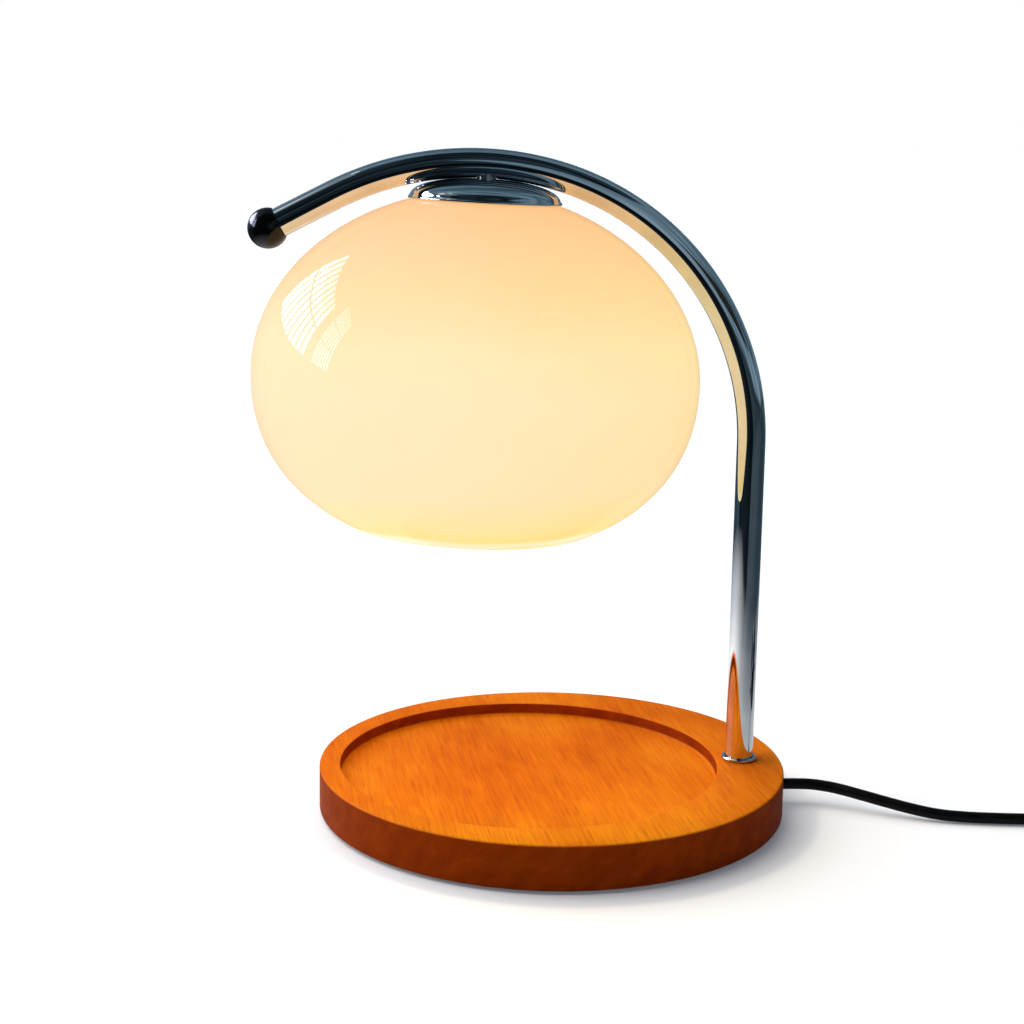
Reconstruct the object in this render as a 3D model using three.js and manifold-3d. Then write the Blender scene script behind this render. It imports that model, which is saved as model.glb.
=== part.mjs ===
// A table lamp that warms what stands under its glass shade: a round wooden base with a shallow dish,
// a bent chrome tube that rises from the rim and arches over the dish, and an opal glass globe that
// hangs from the arch with a reflector bulb inside. The mains cord leaves the base beside the tube,
// and its far end is wound into a coil with an in-line dimmer and a plug.
// Millimetres, +Z up. The origin is the centre of the base on the surface it stands on, and +X runs
// from there to the foot of the tube. The arch lies in the XZ plane.

import * as THREE from 'three';
import { mergeVertices } from 'three/addons/utils/BufferGeometryUtils.js';
import Module from 'manifold-3d';

const wasm = await Module();
wasm.setup();

// Clearances and the overrun of cutting bodies
const seatGap = 0.2;
const fitGap = 0.3;
const glueLine = 0.1;
const overrun = 2;

// Base: turned wood with an off-centre dish in its top and a wiring pocket in its underside
const overallHeight = 280;
const baseRadius = 100;
const baseTop = 20;
const baseEdge = 1;
const dishRim = 9;
const dishDepth = 5.3;
const dishShift = 9.8;
const dishFillet = 1.2;
const dishLip = 0.5;
const padThickness = 1.2;
const padInset = 3.5;
const pocketLength = 53.9;
const pocketHalfWidth = 14.5;
const pocketCorner = 8;
const pocketCeiling = 10.9;
const footPocketRadius = 9.8;
const footPocketCeiling = 16;

// Wiring cover and its screws
const coverThickness = 1.4;
const coverMarginX = 4;
const coverMarginY = 6;
const coverCorner = 12;
const coverScrewSpread = 28;
const coverScrewMargin = 2.7;
const screwHeadRadius = 2.2;
const screwHeadDepth = 1.1;
const screwShankRadius = 1.1;
const coverScrewLength = 8;

// Bent tube
const tubeRadius = 6;
const tubeWall = 1.2;
const columnInset = 17.9;
const lowerBendRadius = 114.3;
const lowerBendAngle = 72.4;
const upperBendRadius = 126.4;
const wholeBendAngle = 117;
const tubeTail = 24;
const collarWall = 1.4;
const collarHeight = 1.6;

// Foot fixing: a threaded pipe inside the tube, with a washer and a nut in the pocket
const footPipeRadius = 4.5;
const footPipeBore = 3;
const footPipeAbove = 15;
const footPipeBelowNut = 0.6;
const footWasherRadius = 8.8;
const footWasherThickness = 0.8;
const footNutFlats = 13;
const footNutHeight = 3;

// Ball at the end of the tube
const ballRadius = 8.3;
const ballSeatOffset = 5.25;
const ballSpigotRadius = 4.4;
const ballSpigotLength = 10;

// Hanger: what holds the shade, stacked along an axis square to the tube, measured from its centreline
const hangTilt = 2.4;
const hangerPipeRadius = 4;
const hangerPipeBore = 2.6;
const hangerPipeInset = 2.5;
const hangerPipeInHolder = 4;
const capRadius = 31.5;
const capBead = 0.6;
const capWall = 0.8;
const capPowerShare = 2.2;
const capSeat = 0.5;
const capGasketRadius = 27;
const capGasketThickness = 1.9;
const retainerRadius = 27.5;
const retainerThickness = 1.2;
const retainerLip = 2;
const shadeGasketWidth = 5.5;
const shadeGasketThickness = 1.6;
const hangerWasherRadius = 8.5;
const hangerWasherThickness = 0.8;
const hangerNutFlats = 13;
const hangerNutHeight = 4;

// Glass shade: an oblate globe with a hanging hole above and a wide mouth below
const globeDrop = 86.6;
const globeRadius = 92.6;
const globeUpperHeight = 75.6;
const globeLowerHeight = 72;
const globeUpperPowerShare = 1.95;
const globeLowerPowerShare = 2.22;
const glassWall = 3.2;
const shadeHoleRadius = 20;
const mouthRadius = 52.5;

// Lamp holder and reflector bulb
const holderRadius = 14;
const holderHeight = 26.4;
const holderRoof = 4;
const holderChamberRadius = 9;
const holderChamberHeight = 5;
const holderMouthRadius = 12.8;
const holderMouthDepth = 8;
const pinCircleRadius = 5;
const pinRadius = 2.4;
const pinLength = 9;
const contactThickness = 0.8;
const contactWidth = 6.4;
const twistAngle = 25;
const bulbNeckRadius = 11.5;
const bulbNeckHeight = 18;
const reflectorRadius = 25;
const reflectorHeight = 30;
const reflectorWall = 1.4;
const reflectorBend = 6;
const lensThickness = 2.4;
const capsuleRadius = 4.5;
const capsuleHeight = 17;

// Wiring inside the base and the tube
const cordRadius = 2.4;
const cordExitZ = 8.2;
const cordSideShift = 7;
const cordSideAngle = 60;
const leadRadius = 1.3;
const leadStartY = -5;
const leadFootBend = 4;
const leadTopBend = 3.4;
const terminalLength = 15;
const terminalMargin = 3.6;
const terminalHeight = 6.9;
const terminalSetback = 31;
const terminalBore = 1.5;
const clampSetback = 22;
const clampLength = 5;
const clampThickness = 1.5;
const clampScrewOffset = 5.2;
const clampEnd = 1.5;
const clampHeadHeight = 0.7;
const clampScrewCover = 1.4;
const grommetRadius = 4;
const grommetInside = 8.4;
const grommetBevel = 0.6;

// Coil of the stored cord. All that is on the free cord is placed along X from the base's edge.
const coilX = 156;
const coilY = 0.9;
const coilLift = 1;
const innerTurnRadius = 23;
const tieWidth = 6;
const tieThickness = 0.6;
const tieGap = 0.4;
const tieAzimuth = 20;

// In-line dimmer
const dimmerX = 214;
const dimmerY = 8.9;
const dimmerLength = 58;
const dimmerWidth = 32;
const dimmerHeight = 15;
const dimmerCorner = 9;
const dimmerWall = 2;
const dimmerCordZ = 7.2;
const dimmerEdge = 1;
const dimmerBoss = 3;
const dimmerBossSetback = 8.5;
const dimmerScrewLength = 9;
const bootRadius = 4.3;
const bootNeckRadius = 3.5;
const bootTipRadius = 3;
const bootLength = 18;
const bootFlange = 1.2;
const bootFlangeStep = 0.9;
const boardLength = 30;
const boardWidth = 22;
const boardThickness = 1.4;
const boardZ = 3.6;
const dialRadius = 11;
const dialHeight = 5;
const dialSpindle = 3;
const dialNotch = 1.6;
const potSide = 15;
const potHeight = 5;

// Plug with two round pins
const plugNoseX = 164;
const plugY = -82;
const plugZ = 6.3;
const plugBootLength = 18;
const plugBootTip = 3.2;
const plugBootRoot = 5;
const plugBodyLength = 34;
const plugBackHalf = 8;
const plugHalfWidth = 17.5;
const plugThickness = 12.4;
const plugEdge = 1.6;
const plugCorner = 7;
const plugPinRadius = 2;
const plugPinLength = 19;
const plugPinSeat = 5;
const plugPinSpacing = 18.6;
const plugPinTip = 1;

// How finely round forms are faceted
const wideSegments = 56;
const glassSegments = 44;
const roundSegments = 32;
const smallSegments = 20;
const screwSegments = 10;
const cordSegments = 8;
const edgeSegments = 3;

// Routes of the free cord from the base's edge, by stretch
const leadOutRoute = [
  [0.1, 0, 8.2], [4.1, 0, 8.2], [9, -0.1, 8.2], [14, -0.7, 8.15], [19.3, -2.4, 8], [24.6, -4.9, 7.7],
  [34.2, -11, 6.8], [43.9, -16.3, 5.45], [54, -21.2, 4.1], [63.8, -24.9, 3.05], [74.2, -27.2, 2.6],
  [87, -29, 2.5], [100.2, -30.3, 2.5], [113, -31.4, 2.5], [125, -32, 2.6], [137, -32, 2.9],
];
const toDimmerRoute = [
  [154.2, -36.8, 7.2], [162.3, -41.8, 5.4], [170.8, -47.1, 3.7], [179.3, -52.4, 2.8], [183.4, -55.1, 2.6],
  [190.5, -57.8, 2.5], [199.2, -57.4, 2.8], [206.9, -53.4, 4], [212.1, -46.6, 6], [213.8, -42.5, 7],
  [214, -38.5, 7.2], [214, -34, 7.2], [214, -28, 7.2], [214, -18.5, 7.2],
];
const fromDimmerRoute = [
  [214, 36.3, 7.2], [214, 48, 7.2], [214, 57, 7.2], [213.6, 60.8, 6.8], [212.1, 64.8, 5.8],
  [206.9, 71.2, 4], [199.2, 75.2, 3.4], [190.5, 75.6, 3.6], [182.5, 72.3, 4.3], [176.4, 66.1, 5.4],
  [169, 57.7, 7.4], [161.5, 49.1, 10.2], [154.2, 40.9, 12.8], [146.3, 31.9, 13.7],
];
const toPlugRoute = [
  [134.4, 8.8, 18.1], [133.2, 4, 18.2], [133, -4, 18.2], [133, -14, 18.2], [133, -22, 18],
  [133, -30, 15.7], [133, -38, 12.1], [133, -46, 8.4], [133, -54, 5.2], [133, -61, 3.3],
  [134.2, -68.8, 2.6], [138.9, -76.1, 2.5], [146.2, -80.8, 2.9], [152, -82, 3.9], [158, -82, 5.5],
  [163.6, -82, 6.25],
];
const stretchSteps = { leadOut: 16, toDimmer: 12, fromDimmer: 14, toPlug: 14 };

// Places that follow from the sizes above
const woodBottom = padThickness + glueLine;
const dishRadius = baseRadius - dishRim - dishShift;
const dishFloor = baseTop - dishDepth;
const columnX = baseRadius - columnInset;
const pocketOuterX = columnX + footPocketRadius;
const pocketInnerX = pocketOuterX - pocketLength;
const tubeBore = tubeRadius - tubeWall;
const coverBottom = woodBottom + seatGap;
const coverTop = coverBottom + coverThickness;
const coverRebate = coverTop + seatGap;
const tubeFootZ = baseTop + glueLine;
const turnToApex = 90;
const columnTop = overallHeight - tubeRadius
  - lowerBendRadius * Math.sin(THREE.MathUtils.degToRad(lowerBendAngle))
  - upperBendRadius * (1 - Math.sin(THREE.MathUtils.degToRad(lowerBendAngle)));
const footWasherTop = footPocketCeiling - seatGap;
const footNutTop = footWasherTop - footWasherThickness - seatGap;
const footPipeBottom = footNutTop - footNutHeight - footPipeBelowNut;
const xAxis = new THREE.Vector3(1, 0, 0);
const zAxis = new THREE.Vector3(0, 0, 1);
const archAxis = new THREE.Vector3(0, -1, 0);

// Path of a bent tube or wire. It starts at a point with a heading, then runs straight or turns
// about an axis, and each stretch adds its own number of steps.
class BentPath extends THREE.Curve {
  constructor(start, heading) {
    super();
    this.points = [start.clone()];
    this.headings = [heading.clone().normalize()];
  }

  get steps() {
    return this.points.length - 1;
  }

  get end() {
    return this.points.at(-1).clone();
  }

  get heading() {
    return this.headings.at(-1).clone();
  }

  straight(length, steps = 1) {
    const start = this.end;
    for (let i = 1; i <= steps; i++) {
      this.points.push(start.clone().addScaledVector(this.heading, (length * i) / steps));
      this.headings.push(this.heading);
    }
    return this;
  }

  bend(radius, degrees, axis, steps) {
    const start = this.end;
    const heading = this.heading;
    const centre = start.clone().add(axis.clone().cross(heading).multiplyScalar(radius));
    for (let i = 1; i <= steps; i++) {
      const angle = THREE.MathUtils.degToRad((degrees * i) / steps);
      this.points.push(start.clone().sub(centre).applyAxisAngle(axis, angle).add(centre));
      this.headings.push(heading.clone().applyAxisAngle(axis, angle));
    }
    return this;
  }

  getPointAt(share, target = new THREE.Vector3()) {
    return target.copy(this.points[Math.round(share * this.steps)]);
  }

  getTangentAt(share, target = new THREE.Vector3()) {
    return target.copy(this.headings[Math.round(share * this.steps)]);
  }
}

// Solid for cutting and joining, from a closed geometry
function solidOf(geometry) {
  const plain = geometry.clone();
  plain.deleteAttribute('normal');
  plain.deleteAttribute('uv');
  const merged = mergeVertices(plain);
  return new wasm.Manifold(new wasm.Mesh({
    numProp: 3,
    vertProperties: merged.attributes.position.array,
    triVerts: new Uint32Array(merged.index.array),
  }));
}

function geometryOf(solid) {
  const mesh = solid.getMesh();
  const geometry = new THREE.BufferGeometry();
  geometry.setAttribute('position', new THREE.BufferAttribute(new Float32Array(mesh.vertProperties), 3));
  geometry.setIndex(new THREE.BufferAttribute(new Uint32Array(mesh.triVerts), 1));
  geometry.computeVertexNormals();
  return geometry;
}

function cut(geometry, ...tools) {
  return geometryOf(tools.reduce((solid, tool) => solid.subtract(solidOf(tool)), solidOf(geometry)));
}

function join(geometry, ...others) {
  return geometryOf(others.reduce((solid, other) => solid.add(solidOf(other)), solidOf(geometry)));
}

// Points of an arc, both ends included
function arc(x, y, radius, startDegrees, endDegrees, steps = edgeSegments) {
  return Array.from({ length: steps + 1 }, (_, i) => {
    const angle = THREE.MathUtils.degToRad(startDegrees + ((endDegrees - startDegrees) * i) / steps);
    return [x + radius * Math.cos(angle), y + radius * Math.sin(angle)];
  });
}

// Turned form about +Z from [radius, height] points that run anticlockwise. A profile that doesn't
// start on the axis closes on itself.
function turned(profile, segments = roundSegments) {
  const closed = profile[0][0] > 0 ? [...profile, profile[0]] : profile;
  const points = closed.map(([radius, height]) => new THREE.Vector2(radius, height));
  return new THREE.LatheGeometry(points, segments).rotateX(Math.PI / 2);
}

function disc(radius, bottom, top, segments = smallSegments) {
  return turned([[0, bottom], [radius, bottom], [radius, top], [0, top]], segments);
}

function ring(bore, radius, bottom, top, segments = smallSegments) {
  return turned([[bore, bottom], [radius, bottom], [radius, top], [bore, top]], segments);
}

function roundedRectangle(x0, y0, x1, y1, corner) {
  const shape = new THREE.Shape();
  shape.absarc(x1 - corner, y0 + corner, corner, -Math.PI / 2, 0);
  shape.absarc(x1 - corner, y1 - corner, corner, 0, Math.PI / 2);
  shape.absarc(x0 + corner, y1 - corner, corner, Math.PI / 2, Math.PI);
  shape.absarc(x0 + corner, y0 + corner, corner, Math.PI, (3 * Math.PI) / 2);
  shape.closePath();
  return shape;
}

function slab(shape, bottom, top, curveSegments = edgeSegments + 1) {
  return new THREE.ExtrudeGeometry(shape, { depth: top - bottom, bevelEnabled: false, curveSegments })
    .translate(0, 0, bottom);
}

// Slab whose top and bottom edges are chamfered; its outline keeps its full size
function softSlab(shape, bottom, top, edge, curveSegments = edgeSegments + 1) {
  return new THREE.ExtrudeGeometry(shape, {
    depth: top - bottom - 2 * edge,
    bevelThickness: edge,
    bevelSize: edge,
    bevelOffset: -edge,
    bevelSegments: 1,
    curveSegments,
  }).translate(0, 0, bottom + edge);
}

function hexagon(flats, bore, bottom, top) {
  const corners = arc(0, 0, flats / Math.sqrt(3), 0, 300, 5).map(([x, y]) => new THREE.Vector2(x, y));
  const shape = new THREE.Shape(corners);
  shape.holes.push(new THREE.Path().absarc(0, 0, bore, 0, 2 * Math.PI, true));
  return slab(shape, bottom, top, smallSegments / 2);
}

// Round section swept along a path; a bore makes it hollow
function swept(path, steps, radius, bore, sides) {
  const shape = new THREE.Shape();
  shape.absarc(0, 0, radius, 0, 2 * Math.PI);
  if (bore > 0) {
    shape.holes.push(new THREE.Path().absarc(0, 0, bore, 0, 2 * Math.PI, true));
  }
  return new THREE.ExtrudeGeometry(shape, {
    steps, curveSegments: sides / 2, bevelEnabled: false, extrudePath: path,
  });
}

function alongRoute(route, steps) {
  const path = new THREE.CatmullRomCurve3(route.map((point) => new THREE.Vector3(...point)));
  return swept(path, steps, cordRadius, 0, cordSegments);
}

// Materials
function finish(color, roughness, metalness) {
  return () => new THREE.MeshStandardMaterial({ color, roughness, metalness });
}

const stainedWood = finish(0xd9741f, 0.45, 0);
const chrome = finish(0xc9d2d8, 0.06, 1);
const blackGloss = finish(0x0b0c0e, 0.25, 0);
const blackPlastic = finish(0x141416, 0.5, 0);
const blackFlex = finish(0x0d0d0e, 0.42, 0);
const blackFoam = finish(0x1b1b1d, 0.9, 0);
const opalGlass = finish(0xffe6c0, 0.08, 0);
const clearSilicone = finish(0xd8d6d0, 0.5, 0);
const zincSteel = finish(0xb4b6b8, 0.35, 1);
const brass = finish(0xc9a24a, 0.3, 1);
const whiteCeramic = finish(0xece8df, 0.55, 0);
const whiteNylon = finish(0xe6e3dc, 0.5, 0);
const mirrorGlass = finish(0xdfe3e6, 0.1, 1);
const clearGlass = finish(0xf2f6f8, 0.05, 0);
const circuitBoard = finish(0x2f5d3a, 0.6, 0);
const leadJacket = finish(0xd9d4c8, 0.6, 0);

const lamp = new THREE.Group();

function add(name, geometry, material, parent = lamp) {
  const mesh = new THREE.Mesh(geometry, material());
  mesh.name = name;
  parent.add(mesh);
  return mesh;
}

// Base
const coverOutline = roundedRectangle(
  pocketInnerX - coverMarginX, -pocketHalfWidth - coverMarginY,
  pocketOuterX + coverMarginX, pocketHalfWidth + coverMarginY, coverCorner,
);
const coverScrewMiddle = (pocketInnerX + pocketOuterX) / 2;
const coverScrewY = pocketHalfWidth + coverScrewMargin;
const coverScrewPlaces = [-1, 1].flatMap((side) => [-1, 1].map((end) => (
  [coverScrewMiddle + (end * coverScrewSpread) / 2, side * coverScrewY]
)));
const cordInY = cordSideShift;
const clampX = pocketOuterX - clampSetback;
const clampScrewPlaces = [-1, 1].map((side) => [clampX, cordInY + side * clampScrewOffset]);
const coverScrewTop = coverBottom + coverScrewLength;
const clampTop = cordExitZ - cordRadius - seatGap;
const clampBottom = clampTop - clampThickness;
const clampScrewTop = dishFloor - clampScrewCover;

function makeBase() {
  const body = turned([
    [0, woodBottom],
    ...arc(baseRadius - baseEdge, woodBottom + baseEdge, baseEdge, -90, 0),
    ...arc(baseRadius - baseEdge, baseTop - baseEdge, baseEdge, 0, 90),
    [0, baseTop],
  ], wideSegments);
  const dish = turned([
    [0, dishFloor],
    ...arc(dishRadius - dishFillet, dishFloor + dishFillet, dishFillet, -90, 0),
    [dishRadius, baseTop - dishLip],
    [dishRadius + dishLip, baseTop],
    [dishRadius + dishLip, baseTop + overrun],
    [0, baseTop + overrun],
  ], wideSegments).translate(-dishShift, 0, 0);
  const pocket = slab(roundedRectangle(
    pocketInnerX, -pocketHalfWidth, pocketOuterX, pocketHalfWidth, pocketCorner,
  ), woodBottom - overrun, pocketCeiling);
  const rebate = slab(coverOutline, woodBottom - overrun, coverRebate);
  const footPocket = disc(footPocketRadius, woodBottom - overrun, footPocketCeiling)
    .translate(columnX, 0, 0);
  const footHole = disc(footPipeRadius + fitGap, footPocketCeiling - overrun, baseTop + overrun)
    .translate(columnX, 0, 0);
  const cordHole = disc(grommetRadius + fitGap, pocketOuterX - overrun, baseRadius + overrun)
    .rotateY(Math.PI / 2).translate(0, 0, cordExitZ);
  const pilot = screwShankRadius + fitGap;
  const coverPilots = coverScrewPlaces.map(([x, y]) => (
    disc(pilot, woodBottom, coverScrewTop + fitGap, screwSegments).translate(x, y, 0)
  ));
  const clampPilots = clampScrewPlaces.map(([x, y]) => (
    disc(pilot, woodBottom, clampScrewTop + fitGap, screwSegments).translate(x, y, 0)
  ));
  return cut(body, dish, pocket, rebate, footPocket, footHole, cordHole, ...coverPilots, ...clampPilots);
}

add('base_disc', makeBase(), stainedWood);
add('base_pad', disc(baseRadius - padInset, 0, padThickness, wideSegments), blackFoam);

// Wiring cover with countersunk screws
function countersunkScrew(length, sunk = 0) {
  return turned([
    [0, 0],
    [screwHeadRadius + sunk, 0],
    [screwShankRadius + sunk, screwHeadDepth],
    [screwShankRadius + sunk, length],
    [0, length],
  ], screwSegments);
}

const coverPlate = slab(roundedRectangle(
  pocketInnerX - coverMarginX + fitGap, -pocketHalfWidth - coverMarginY + fitGap,
  pocketOuterX + coverMarginX - fitGap, pocketHalfWidth + coverMarginY - fitGap, coverCorner - fitGap,
), coverBottom, coverTop);
const countersinks = coverScrewPlaces.map(([x, y]) => join(
  countersunkScrew(coverScrewLength, fitGap),
  disc(screwHeadRadius + fitGap, -overrun, 0, screwSegments),
).translate(x, y, coverBottom));
add('wiring_cover', cut(coverPlate, ...countersinks), blackPlastic);
coverScrewPlaces.forEach(([x, y], i) => {
  add(`cover_screw_${i + 1}`, countersunkScrew(coverScrewLength), zincSteel).position.set(x, y, coverBottom);
});

// Tube, from the foot over the arch to its end
const archSteps = { lower: 12, upper: 8 };
const columnLength = columnTop - tubeFootZ;
const arm = new BentPath(new THREE.Vector3(columnX, 0, tubeFootZ), zAxis)
  .straight(columnLength)
  .bend(lowerBendRadius, lowerBendAngle, archAxis, archSteps.lower)
  .bend(upperBendRadius, wholeBendAngle - lowerBendAngle, archAxis, archSteps.upper)
  .straight(tubeTail);
const hangPoint = new BentPath(new THREE.Vector3(columnX, 0, tubeFootZ), zAxis)
  .straight(columnLength)
  .bend(lowerBendRadius, lowerBendAngle, archAxis, 1)
  .bend(upperBendRadius, turnToApex - hangTilt - lowerBendAngle, archAxis, 1)
  .end;

// Everything below is placed along the hanger's own axis, where depth grows downwards
const hanger = new THREE.Group();
hanger.position.copy(hangPoint);
hanger.rotation.y = THREE.MathUtils.degToRad(hangTilt);
hanger.updateMatrix();
lamp.add(hanger);

const hangerHole = disc(hangerPipeRadius + fitGap, -tubeRadius - overrun, -tubeBore + overrun)
  .applyMatrix4(hanger.matrix);
add('arm_tube', cut(swept(arm, arm.steps, tubeRadius, tubeBore, smallSegments), hangerHole), chrome);

const collarBore = tubeRadius + fitGap;
const collarEdge = collarHeight / 2;
const onColumn = (mesh) => mesh.position.setX(columnX);
onColumn(add('foot_collar', turned([
  [collarBore, tubeFootZ],
  ...arc(collarBore + collarWall - collarEdge, tubeFootZ + collarEdge, collarEdge, -90, 90, edgeSegments + 1),
  [collarBore, tubeFootZ + collarHeight],
], smallSegments), chrome));

const footPipeTop = tubeFootZ + footPipeAbove;
onColumn(add('foot_pipe', ring(footPipeBore, footPipeRadius, footPipeBottom, footPipeTop), zincSteel));
onColumn(add('foot_washer', ring(
  footPipeRadius + fitGap, footWasherRadius, footWasherTop - footWasherThickness, footWasherTop,
), zincSteel));
onColumn(add('foot_nut', hexagon(
  footNutFlats, footPipeRadius + fitGap, footNutTop - footNutHeight, footNutTop,
), brass));

// Ball with a spigot in the end of the tube
const ballCutAngle = THREE.MathUtils.radToDeg(Math.acos(ballSeatOffset / ballRadius));
const ballArc = arc(
  0, ballSeatOffset, ballRadius, ballCutAngle - turnToApex, turnToApex, smallSegments / 2,
);
const ball = turned([
  [0, -ballSpigotLength],
  [ballSpigotRadius, -ballSpigotLength],
  [ballSpigotRadius, seatGap],
  ...ballArc.slice(0, -1),
  [0, ballSeatOffset + ballRadius],
], smallSegments);
const ballMesh = add('ball_finial', ball, blackGloss);
ballMesh.position.copy(arm.end);
ballMesh.quaternion.setFromUnitVectors(zAxis, arm.heading);

// Heights of the globe's outer and inner faces below the tube's centreline, at a radius
function globeFace(radius, upper, inset = 0) {
  const height = (upper ? globeUpperHeight : globeLowerHeight) - inset;
  const power = upper ? globeUpperPowerShare : globeLowerPowerShare;
  const rise = height * (1 - (radius / (globeRadius - inset)) ** power) ** (1 / power);
  return -globeDrop + (upper ? rise : -rise);
}

// Glass shade
const shadeSteps = { upper: 11, lower: 7 };

function globeArc(inset, startRadius, endRadius, upper, steps) {
  const power = upper ? globeUpperPowerShare : globeLowerPowerShare;
  const widest = globeRadius - inset;
  const height = (upper ? globeUpperHeight : globeLowerHeight) - inset;
  const angleAt = (radius) => Math.acos((radius / widest) ** (power / 2));
  const [start, end] = [angleAt(startRadius), angleAt(endRadius)];
  return Array.from({ length: steps + 1 }, (_, i) => {
    const angle = start + ((end - start) * i) / steps;
    const rise = height * Math.sin(angle) ** (2 / power);
    return [widest * Math.cos(angle) ** (2 / power), -globeDrop + (upper ? rise : -rise)];
  });
}

const outerWidest = globeRadius;
const innerWidest = globeRadius - glassWall;
const innerMouth = mouthRadius - glassWall;
add('glass_shade', turned([
  ...globeArc(0, mouthRadius, outerWidest, false, shadeSteps.lower).slice(0, -1),
  ...globeArc(0, outerWidest, shadeHoleRadius, true, shadeSteps.upper),
  ...globeArc(glassWall, shadeHoleRadius, innerWidest, true, shadeSteps.upper).slice(0, -1),
  ...globeArc(glassWall, innerWidest, innerMouth, false, shadeSteps.lower),
], glassSegments), opalGlass, hanger);

// Dome cap: a spun shell with a rolled edge that stands on the glass
const capBeadRadius = capRadius - capBead;
const capSlope = (globeFace(capBeadRadius, true) - globeFace(capRadius, true)) / capBead;
const capBeadZ = globeFace(capBeadRadius, true) + (capBead + seatGap) * Math.hypot(1, capSlope);
const capTop = -tubeRadius - capSeat;
const capHole = hangerPipeRadius + fitGap;
const capSteps = 7;

function capFace(inset) {
  const widest = capBeadRadius - inset;
  const height = capTop - inset - capBeadZ;
  const angleEnd = Math.acos((capHole / widest) ** (capPowerShare / 2));
  return Array.from({ length: capSteps + 1 }, (_, i) => {
    const angle = (angleEnd * i) / capSteps;
    return [
      widest * Math.cos(angle) ** (2 / capPowerShare),
      capBeadZ + height * Math.sin(angle) ** (2 / capPowerShare),
    ];
  });
}

add('dome_cap', turned([
  ...arc(capBeadRadius, capBeadZ, capBead, -180, 60, 2 * edgeSegments),
  ...capFace(0).slice(1),
  ...capFace(capWall).slice(1).reverse(),
]), chrome, hanger);

// Soft ring between the cap and the glass
const capInnerFace = capBeadZ + (capTop - capWall - capBeadZ)
  * (1 - (capGasketRadius / (capBeadRadius - capWall)) ** capPowerShare) ** (1 / capPowerShare);
const capGasketZ = (globeFace(capGasketRadius, true) + capInnerFace) / 2;
add('cap_gasket', turned(
  arc(capGasketRadius, capGasketZ, capGasketThickness / 2, 0, 300, 5),
), clearSilicone, hanger);

// Clamping stack under the glass
const gasketBore = retainerRadius - shadeGasketWidth;
const gasketTop = (radius) => globeFace(radius, true, glassWall) - fitGap;
const gasketBottom = gasketTop(retainerRadius) - shadeGasketThickness;
const retainerTop = gasketBottom - seatGap;
const retainerBottom = retainerTop - retainerThickness;
add('shade_gasket', turned([
  [gasketBore, gasketBottom],
  [retainerRadius, gasketBottom],
  [retainerRadius, gasketTop(retainerRadius)],
  [gasketBore, gasketTop(gasketBore)],
]), clearSilicone, hanger);
add('retainer_plate', turned([
  [hangerPipeRadius + fitGap, retainerBottom],
  [retainerRadius - retainerThickness, retainerBottom],
  [retainerRadius - retainerThickness, retainerBottom - retainerLip],
  [retainerRadius, retainerBottom - retainerLip],
  [retainerRadius, retainerTop],
  [hangerPipeRadius + fitGap, retainerTop],
]), zincSteel, hanger);
const hangerWasherTop = retainerBottom - seatGap;
const hangerNutTop = hangerWasherTop - hangerWasherThickness - seatGap;
const hangerNutBottom = hangerNutTop - hangerNutHeight;
add('hanger_washer', ring(
  hangerPipeRadius + fitGap, hangerWasherRadius, hangerWasherTop - hangerWasherThickness, hangerWasherTop,
), zincSteel, hanger);
add('hanger_nut', hexagon(
  hangerNutFlats, hangerPipeRadius + fitGap, hangerNutBottom, hangerNutTop,
), brass, hanger);

// Lamp holder, hung on the lower end of the hanger pipe
const holderTop = hangerNutBottom - seatGap;
const holderBottom = holderTop - holderHeight;
const holderMouthTop = holderBottom + holderMouthDepth;
const chamberTop = holderTop - holderRoof;
const chamberBottom = chamberTop - holderChamberHeight;
const pinTop = holderMouthTop - seatGap + pinLength;
const hangerPipeTop = -tubeRadius + hangerPipeInset;
const hangerPipeBottom = holderTop - hangerPipeInHolder;
add('hanger_pipe', ring(
  hangerPipeBore, hangerPipeRadius, hangerPipeBottom, hangerPipeTop,
), zincSteel, hanger);

// Sector of a ring, for the pins' slots and the contacts above them
function arcSlot(radius, halfWidth, startDegrees, endDegrees, bottom, top) {
  const [start, end] = [startDegrees, endDegrees].map(THREE.MathUtils.degToRad);
  const shape = new THREE.Shape();
  shape.absarc(0, 0, radius + halfWidth, start, end);
  shape.absarc(radius * Math.cos(end), radius * Math.sin(end), halfWidth, end, end + Math.PI);
  shape.absarc(0, 0, radius - halfWidth, end, start, true);
  const startX = radius * Math.cos(start);
  const startY = radius * Math.sin(start);
  shape.absarc(startX, startY, halfWidth, start + Math.PI, start + 2 * Math.PI);
  return slab(shape, bottom, top, 2 * edgeSegments);
}

const halfTurn = 180;
const pinAngles = [0, halfTurn];
const pinSlots = pinAngles.map((angle) => arcSlot(
  pinCircleRadius, pinRadius + fitGap, angle - twistAngle, angle,
  holderMouthTop - overrun, chamberBottom + overrun,
));
add('lamp_holder', cut(
  disc(holderRadius, holderBottom, holderTop, roundSegments),
  disc(hangerPipeRadius + fitGap, chamberTop - overrun, holderTop + overrun),
  disc(holderChamberRadius, chamberBottom, chamberTop),
  disc(holderMouthRadius, holderBottom - overrun, holderMouthTop, roundSegments),
  ...pinSlots,
), whiteCeramic, hanger);
const contactBottom = chamberBottom + seatGap;
pinAngles.forEach((angle, i) => {
  add(`holder_contact_${i + 1}`, arcSlot(
    pinCircleRadius, contactWidth / 2, angle - twistAngle, angle,
    contactBottom, contactBottom + contactThickness,
  ), brass, hanger);
});

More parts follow.
